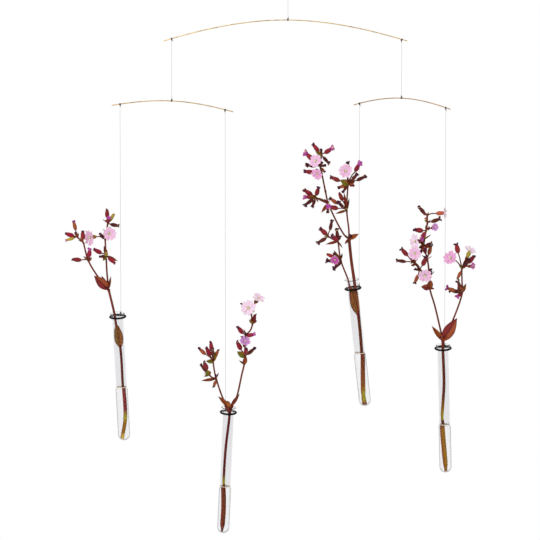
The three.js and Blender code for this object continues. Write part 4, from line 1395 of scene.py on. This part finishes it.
def add_vase(number, sprig):
    """A vase with its ring and knot, its water and its sprig."""
    hung = Hung(number)
    ring_middle = middle_of(v.co for v in frame["nodes"][f"hanging_ring_{number}"].data.vertices)

    def on_ring(point):
        return ring_middle + hung.turn @ Vector(point) * MM

    section = []
    for i in range(RING_SIDES):
        a = 2 * math.pi * i / RING_SIDES
        cord = RING_CORD_RADIUS * (1 + (MOULD_LINE if i in (0, RING_SIDES // 2) else 0))
        section.append((RING_RADIUS + cord * math.cos(a), cord * math.sin(a)))
    ring = turned(f"rubber_ring_{number}", section, RING_SEGMENTS, on_ring, looped=True)
    ring.data.materials.append(RUBBER)
    stands_for(ring, "ring_rubber", f"hanging_ring_{number}")
    tie = Vector(JOINTS[f"vase_tilt_{number}"]["pos_m"])
    across = UP.cross(tie - ring_middle)
    add_knot(f"ring_tie_{number}", f"ring_knot_{number}", tie / MM, RING_CORD_RADIUS, across, UP)
    depth = sprig["water"] * VASE_LENGTH
    add_glass(number, hung, depth - VASE_LENGTH)
    add_water(number, hung, depth)
    add_sprig(number, sprig, hung)


# Sprigs
CALYX_SHAPE = calyx_tree()
CURLED_PETALS = claws_tree()
CLEFT_PETALS = petals_tree()
LEAF_BLADE = blade_tree()
STEM = stem_finish()
CALYX = calyx_finish()
WITHERED = withered_finish()
PETAL = petal_finish()
CORONA = corona_finish()
LEAF = leaf_finish()
# Leaves turn their upper faces to the front and up
LEAF_FACE = Vector((0, -1, 0.35)).normalized()
BRACT_COLOURS = ("brown", "olive", "green", "bronze", "brown")
LATE_KINDS = ("green", "dark", "spent")


def blended(stops, share):
    """The colour at a share of the way down, between the stops to either side of it."""
    for (first, a), (second, b) in zip(stops, stops[1:]):
        if share <= second:
            t = max(0, (share - first) / (second - first))
            return tuple(p * (1 - t) + q * t for p, q in zip(STEM_PAINTS[a], STEM_PAINTS[b]))
    return STEM_PAINTS[stops[-1][1]]


class Sprig:
    """Gathers what grows on one sprig, in millimetres above the vase's mouth."""

    def __init__(self, stops, wet_below, wet, foot):
        self.stops = stops
        self.wet_below = wet_below
        self.wet = wet
        self.foot = foot
        self.lines = []
        self.thickness = []
        self.tints = []
        self.calyces = []
        self.tips = []
        self.leaves = []
        self.bracts = []
        self.bore_leaves = []
        self.open_calyces = []
        self.flowers = []

    def tint(self, point):
        if point.z < 0:
            return blended(self.stops, -point.z / (VASE_LENGTH - VASE_WALL))
        upper = STEM_PAINTS["russet"], STEM_PAINTS["umber"]
        share = 0.5 + TINT_SWING * math.sin(point.z * TINT_RISE + point.x * TINT_ACROSS)
        return tuple(a * share + b * (1 - share) for a, b in zip(*upper))

    def line(self, points, thickness):
        self.lines.append(points)
        self.thickness.append(thickness)
        self.tints.append([self.tint(point) for point in points])

    def stalk(self, start, stop, lean):
        """A short stalk that leaves its joint along the branch and bends to where it ends."""
        bend = start + lean * ((stop - start).length * STALK_LEAN) + (stop - start) * STALK_BEND
        points = []
        thickness = []
        for i in range(STALK_POINTS):
            t = i / (STALK_POINTS - 1)
            points.append(start * (1 - t)**2 + bend * (2 * t * (1 - t)) + stop * t**2)
            thickness.append(STALK_RADIUS * (STALK_FOOT - STALK_TAPER * i / STALK_POINTS))
        self.line(points, thickness)

    def bud(self, start, tip, kind, lean):
        """A spent or closed flower on its stalk, by its tip."""
        look = KINDS[kind]
        way = tip - start
        facing = way.normalized()
        length = min(BUD_LENGTH, way.length - LEAST_STALK - TIP_LENGTH)
        mouth = tip - facing * TIP_LENGTH
        base = mouth - facing * length
        self.stalk(start, base + facing * BUD_SEAT, lean)
        size = (SMALL_BUD + (1 - SMALL_BUD) * length / BUD_LENGTH) * draw.uniform(*BUD_SIZES)
        girth = BUD_RADIUS * look["girth"] * size
        side = sideways(facing)
        shade, ripe = draw.uniform(*SHADES), draw.uniform(*RIPENESS)
        tint = tuple(shade * (c * (1 - ripe) + r * ripe) for c, r in zip(look["calyx"], RIPE))
        self.calyces.append(spot(base, facing, side, (girth, girth, length), tint))
        curl = BUD_RADIUS * size * look["tip_size"]
        sunk = mouth - facing * TIP_SINK
        self.tips.append(spot(sunk, facing, side, (curl, curl, curl * TIP_STRETCH), look["tip"]))

    def bloom(self, start, bloom, lean):
        """The stalk and calyx of an open flower."""
        facing, width = bloom["facing"], bloom["width"]
        size = min(1, width / CALYX_LENGTH)
        length = CALYX_LENGTH * size
        base = bloom["centre"] - facing * (length + CALYX_GAP)
        self.stalk(start, base + facing * CALYX_SEAT, lean)
        girth = BUD_RADIUS * size
        tint = CALYX_PAINTS[bloom["calyx"]]
        self.open_calyces.append(spot(base, facing, sideways(facing), (girth, girth, length), tint))
        self.flowers.append(bloom)

    def leaf(self, kind, foot, tip, width, colour):
        """A leaf from its foot to its tip, added to the leaves of one kind."""
        along = (tip - foot).normalized()
        face = (LEAF_FACE - along * LEAF_FACE.dot(along)).normalized()
        length = (tip - foot).length
        kind.append(spot(foot, along, face, (width / 2, length, length), LEAF_PAINTS[colour]))

    def bract(self, place, lean):
        """A pair of bracts that stand off a joint to either side, and a late bud between them."""
        first = sideways(lean)
        for side in (first, -first):
            along = (lean * draw.uniform(*BRACT_LEAN) + side).normalized()
            length = draw.uniform(*BRACT_LENGTH)
            face = (lean - along * lean.dot(along)).normalized()
            width = length * draw.uniform(*BRACT_SHARE)
            colour = draw.choice(BRACT_COLOURS)
            self.bracts.append(spot(place, along, face, (width, length, length), LEAF_PAINTS[colour]))
        way = (lean + sideways(lean) * draw.uniform(*LATE_LEAN)).normalized()
        late = place + way * draw.uniform(*LATE_LENGTH)
        self.bud(place, late, draw.choice(LATE_KINDS), lean)

    def grow(self, joints, radius):
        """A stem or branch through its joints, then what stands at each of them."""
        places = [one["place"] for one in joints]
        way = smooth_way(places, STEM_STEPS)
        swollen = [one for one in joints if one.get("knuckle")]
        noded = [one["place"] for one in joints
                 if one.get("buds") or one.get("leaves") or one.get("branches")]
        thickness = []
        for i, point in enumerate(way):
            taper = radius * (1 - STEM_TAPER * i / len(way))
            for one in swollen:
                near = (point - one["place"]).length / KNUCKLE_REACH
                taper += (KNUCKLE_RADIUS - radius) * math.exp(-near**2)
            for place in noded:
                near = (point - place).length / NODE_REACH
                taper += NODE_SWELL * radius * math.exp(-near**2)
            if point.z < self.wet_below:
                rise = min(1, max(0, point.z - places[0].z) / FOOT_TAPER)
                taper *= self.foot + (self.wet - self.foot) * rise
            thickness.append(taper)
        self.line(way, thickness)
        for i, one in enumerate(joints):
            place = one["place"]
            before, after = places[max(0, i - 1)], places[min(len(places) - 1, i + 1)]
            lean = (after - before).normalized()
            if place.z > BRACTS_ABOVE and (one.get("buds") or one.get("flowers") or one.get("branches")):
                self.bract(place, lean)
            for *tip, kind in one.get("buds", ()):
                self.bud(place, Vector(tip), kind, lean)
            for *tip, colour, share in one.get("leaves", ()):
                tip = Vector(tip)
                self.leaf(self.leaves, place, tip, share * (tip - place).length, colour)
            for *shares, colour, share in one.get("bore_leaves", ()):
                tip = Vector(bore_place(*shares))
                self.leaf(self.bore_leaves, place, tip, share * BORE_FLAT, colour)
            for bloom in one.get("flowers", ()):
                self.bloom(place, bloom, lean)
            for branch in one.get("branches", ()):
                self.grow([joint(*place), *branch], BRANCH_RADIUS)


def sideways(direction):
    """A direction square to another, at a drawn angle round it."""
    first = direction.orthogonal().normalized()
    angle = draw.uniform(0, 2 * math.pi)
    return first * math.cos(angle) + direction.cross(first) * math.sin(angle)


def spot(place, facing, side, size, tint):
    return dict(place=place, facing=facing, side=side, size=size, tint=tint)


def keep_in_bore(piece, hung):
    """Bends what would cut the glass back into the bore, and less the higher it stands above the mouth."""
    for vertex in piece.data.vertices:
        point = hung.inside(vertex.co)
        middle = Vector((0, 0, max(point.z, VASE_RADIUS - VASE_LENGTH)))
        reach = point - middle
        room = BORE_RADIUS - BORE_CLEAR + MOUTH_SPREAD * max(0, point.z)
        free = room - BEND_DEPTH
        if reach.length > free and point.z < MOUTH_TOP:
            bent = room - BEND_DEPTH * math.exp((free - reach.length) / BEND_DEPTH)
            vertex.co = hung.place(middle + reach * (bent / reach.length))


def add_sprig(number, sprig, hung):
    body = f"sprig_{number}"
    plant = Sprig(sprig["stops"], (sprig["water"] - 1) * VASE_LENGTH, sprig["wet"], sprig["foot"])
    plant.grow(sprig["stem"], STEM_RADIUS * sprig["girth"])

    def seated(spots):
        return spots_mesh("spots", [
            dict(place=hung.place(one["place"]), facing=hung.way(one["facing"]), side=hung.way(one["side"]),
                 size=Vector(one["size"]) * MM, tint=one["tint"])
            for one in spots
        ])

    lines = [[hung.place(point) for point in line] for line in plant.lines]
    thickness = [[value * MM for value in line] for line in plant.thickness]
    start = lines_mesh("stems", lines, thickness, plant.tints)
    stems = grown(f"stems_{number}", start, ROD, STEM, sides=STEM_SIDES)
    keep_in_bore(stems, hung)
    stands_for(stems, "plant", f"flower_sprig_{number}")
    parts = [
        ("leaves", plant.leaves, LEAF_BLADE, LEAF, {}),
        ("bore_leaves", plant.bore_leaves, LEAF_BLADE, LEAF, dict(cup=0.5, fold=0.1, droop=0.04)),
        ("bracts", plant.bracts, LEAF_BLADE, LEAF, dict(across=5, along=7, droop=0.3, teeth=0.0)),
        ("calyces", plant.calyces, CALYX_SHAPE, CALYX, {}),
        ("open_calyces", plant.open_calyces, CALYX_SHAPE, CALYX, dict(mouth=0.85)),
        ("withered_tips", plant.tips, CURLED_PETALS, WITHERED, dict(seed=number)),
    ]
    for name, spots, tree, finish, sizes in parts:
        if spots:
            piece = grown(f"{name}_{number}", seated(spots), tree, finish, **sizes)
            keep_in_bore(piece, hung)
            stands_for(piece, "plant", body=body)
    throats = []
    for i, bloom in enumerate(plant.flowers):
        radius = bloom["width"] * PETAL_SPREAD / 2
        side = sideways(bloom["facing"])
        whorl = spot(bloom["centre"], bloom["facing"], side, (radius,) * 3, PETAL_PAINTS[bloom["colour"]])
        petals = grown(f"petals_{number}_{i + 1}", seated([whorl]), CLEFT_PETALS, PETAL,
                       seed=number * FLOWER_SEEDS + i)
        stands_for(petals, "petal", f"blossom_{number}_{i + 1}")
        throats.append(spot(bloom["centre"], bloom["facing"], side, (radius * THROAT_SHARE,) * 3, CREAM))
    corona = grown(f"flower_throats_{number}", seated(throats), CURLED_PETALS, CORONA,
                   claws=8, curl=1.2, breadth=0.7, ring=0.5)
    stands_for(corona, "petal", body=body)


for number, sprig in enumerate(SPRIGS, 1):
    add_vase(number, sprig)


# Floor, light and background, in metres
FLOOR_HEIGHT = -1.0
FLOOR_RADIUS = 0.9
FLOOR_SIDES = 96
AMBIENT = 0.68
KEY_POWER = 24
KEY_SIZE = 1.6
KEY_PLACE = Vector((-1.1, -1.9, 0.9))


def add_floor():
    mesh = bpy.data.meshes.new("floor")
    rim = [(FLOOR_RADIUS * math.cos(a), FLOOR_RADIUS * math.sin(a), FLOOR_HEIGHT)
           for a in (2 * math.pi * i / FLOOR_SIDES for i in range(FLOOR_SIDES))]
    mesh.from_pydata(rim, [], [tuple(range(FLOOR_SIDES))])
    mesh.materials.append(floor_finish())
    object_of("floor", mesh)


def add_light():
    data = bpy.data.lights.new("key", "AREA")
    data.energy = KEY_POWER
    data.size = KEY_SIZE
    key = bpy.data.objects.new("key", data)
    key.location = KEY_PLACE
    key.rotation_euler = (AIM * MM - KEY_PLACE).to_track_quat("-Z", "Y").to_euler()
    bpy.context.scene.collection.objects.link(key)


def add_background():
    """White where it is seen, also in a reflection or through glass, and softer where it only lights."""
    world = bpy.data.worlds.new("studio")
    world.use_nodes = True
    bpy.context.scene.world = world
    wiring = Wiring(world.node_tree)
    ray = world.node_tree.nodes.new("ShaderNodeLightPath").outputs
    seen = Field(wiring, ray["Is Camera Ray"]) + Field(wiring, ray["Is Glossy Ray"])
    seen = wiring.math("MINIMUM", seen + Field(wiring, ray["Is Transmission Ray"]), 1.0)
    background = world.node_tree.nodes["Background"]
    background.inputs["Color"].default_value = (1, 1, 1, 1)
    wiring.join(seen * (1 - AMBIENT) + AMBIENT, background.inputs["Strength"])


add_floor()
add_light()
add_background()
bpy.context.scene.view_settings.view_transform = "Standard"

bpy.context.view_layer.update()
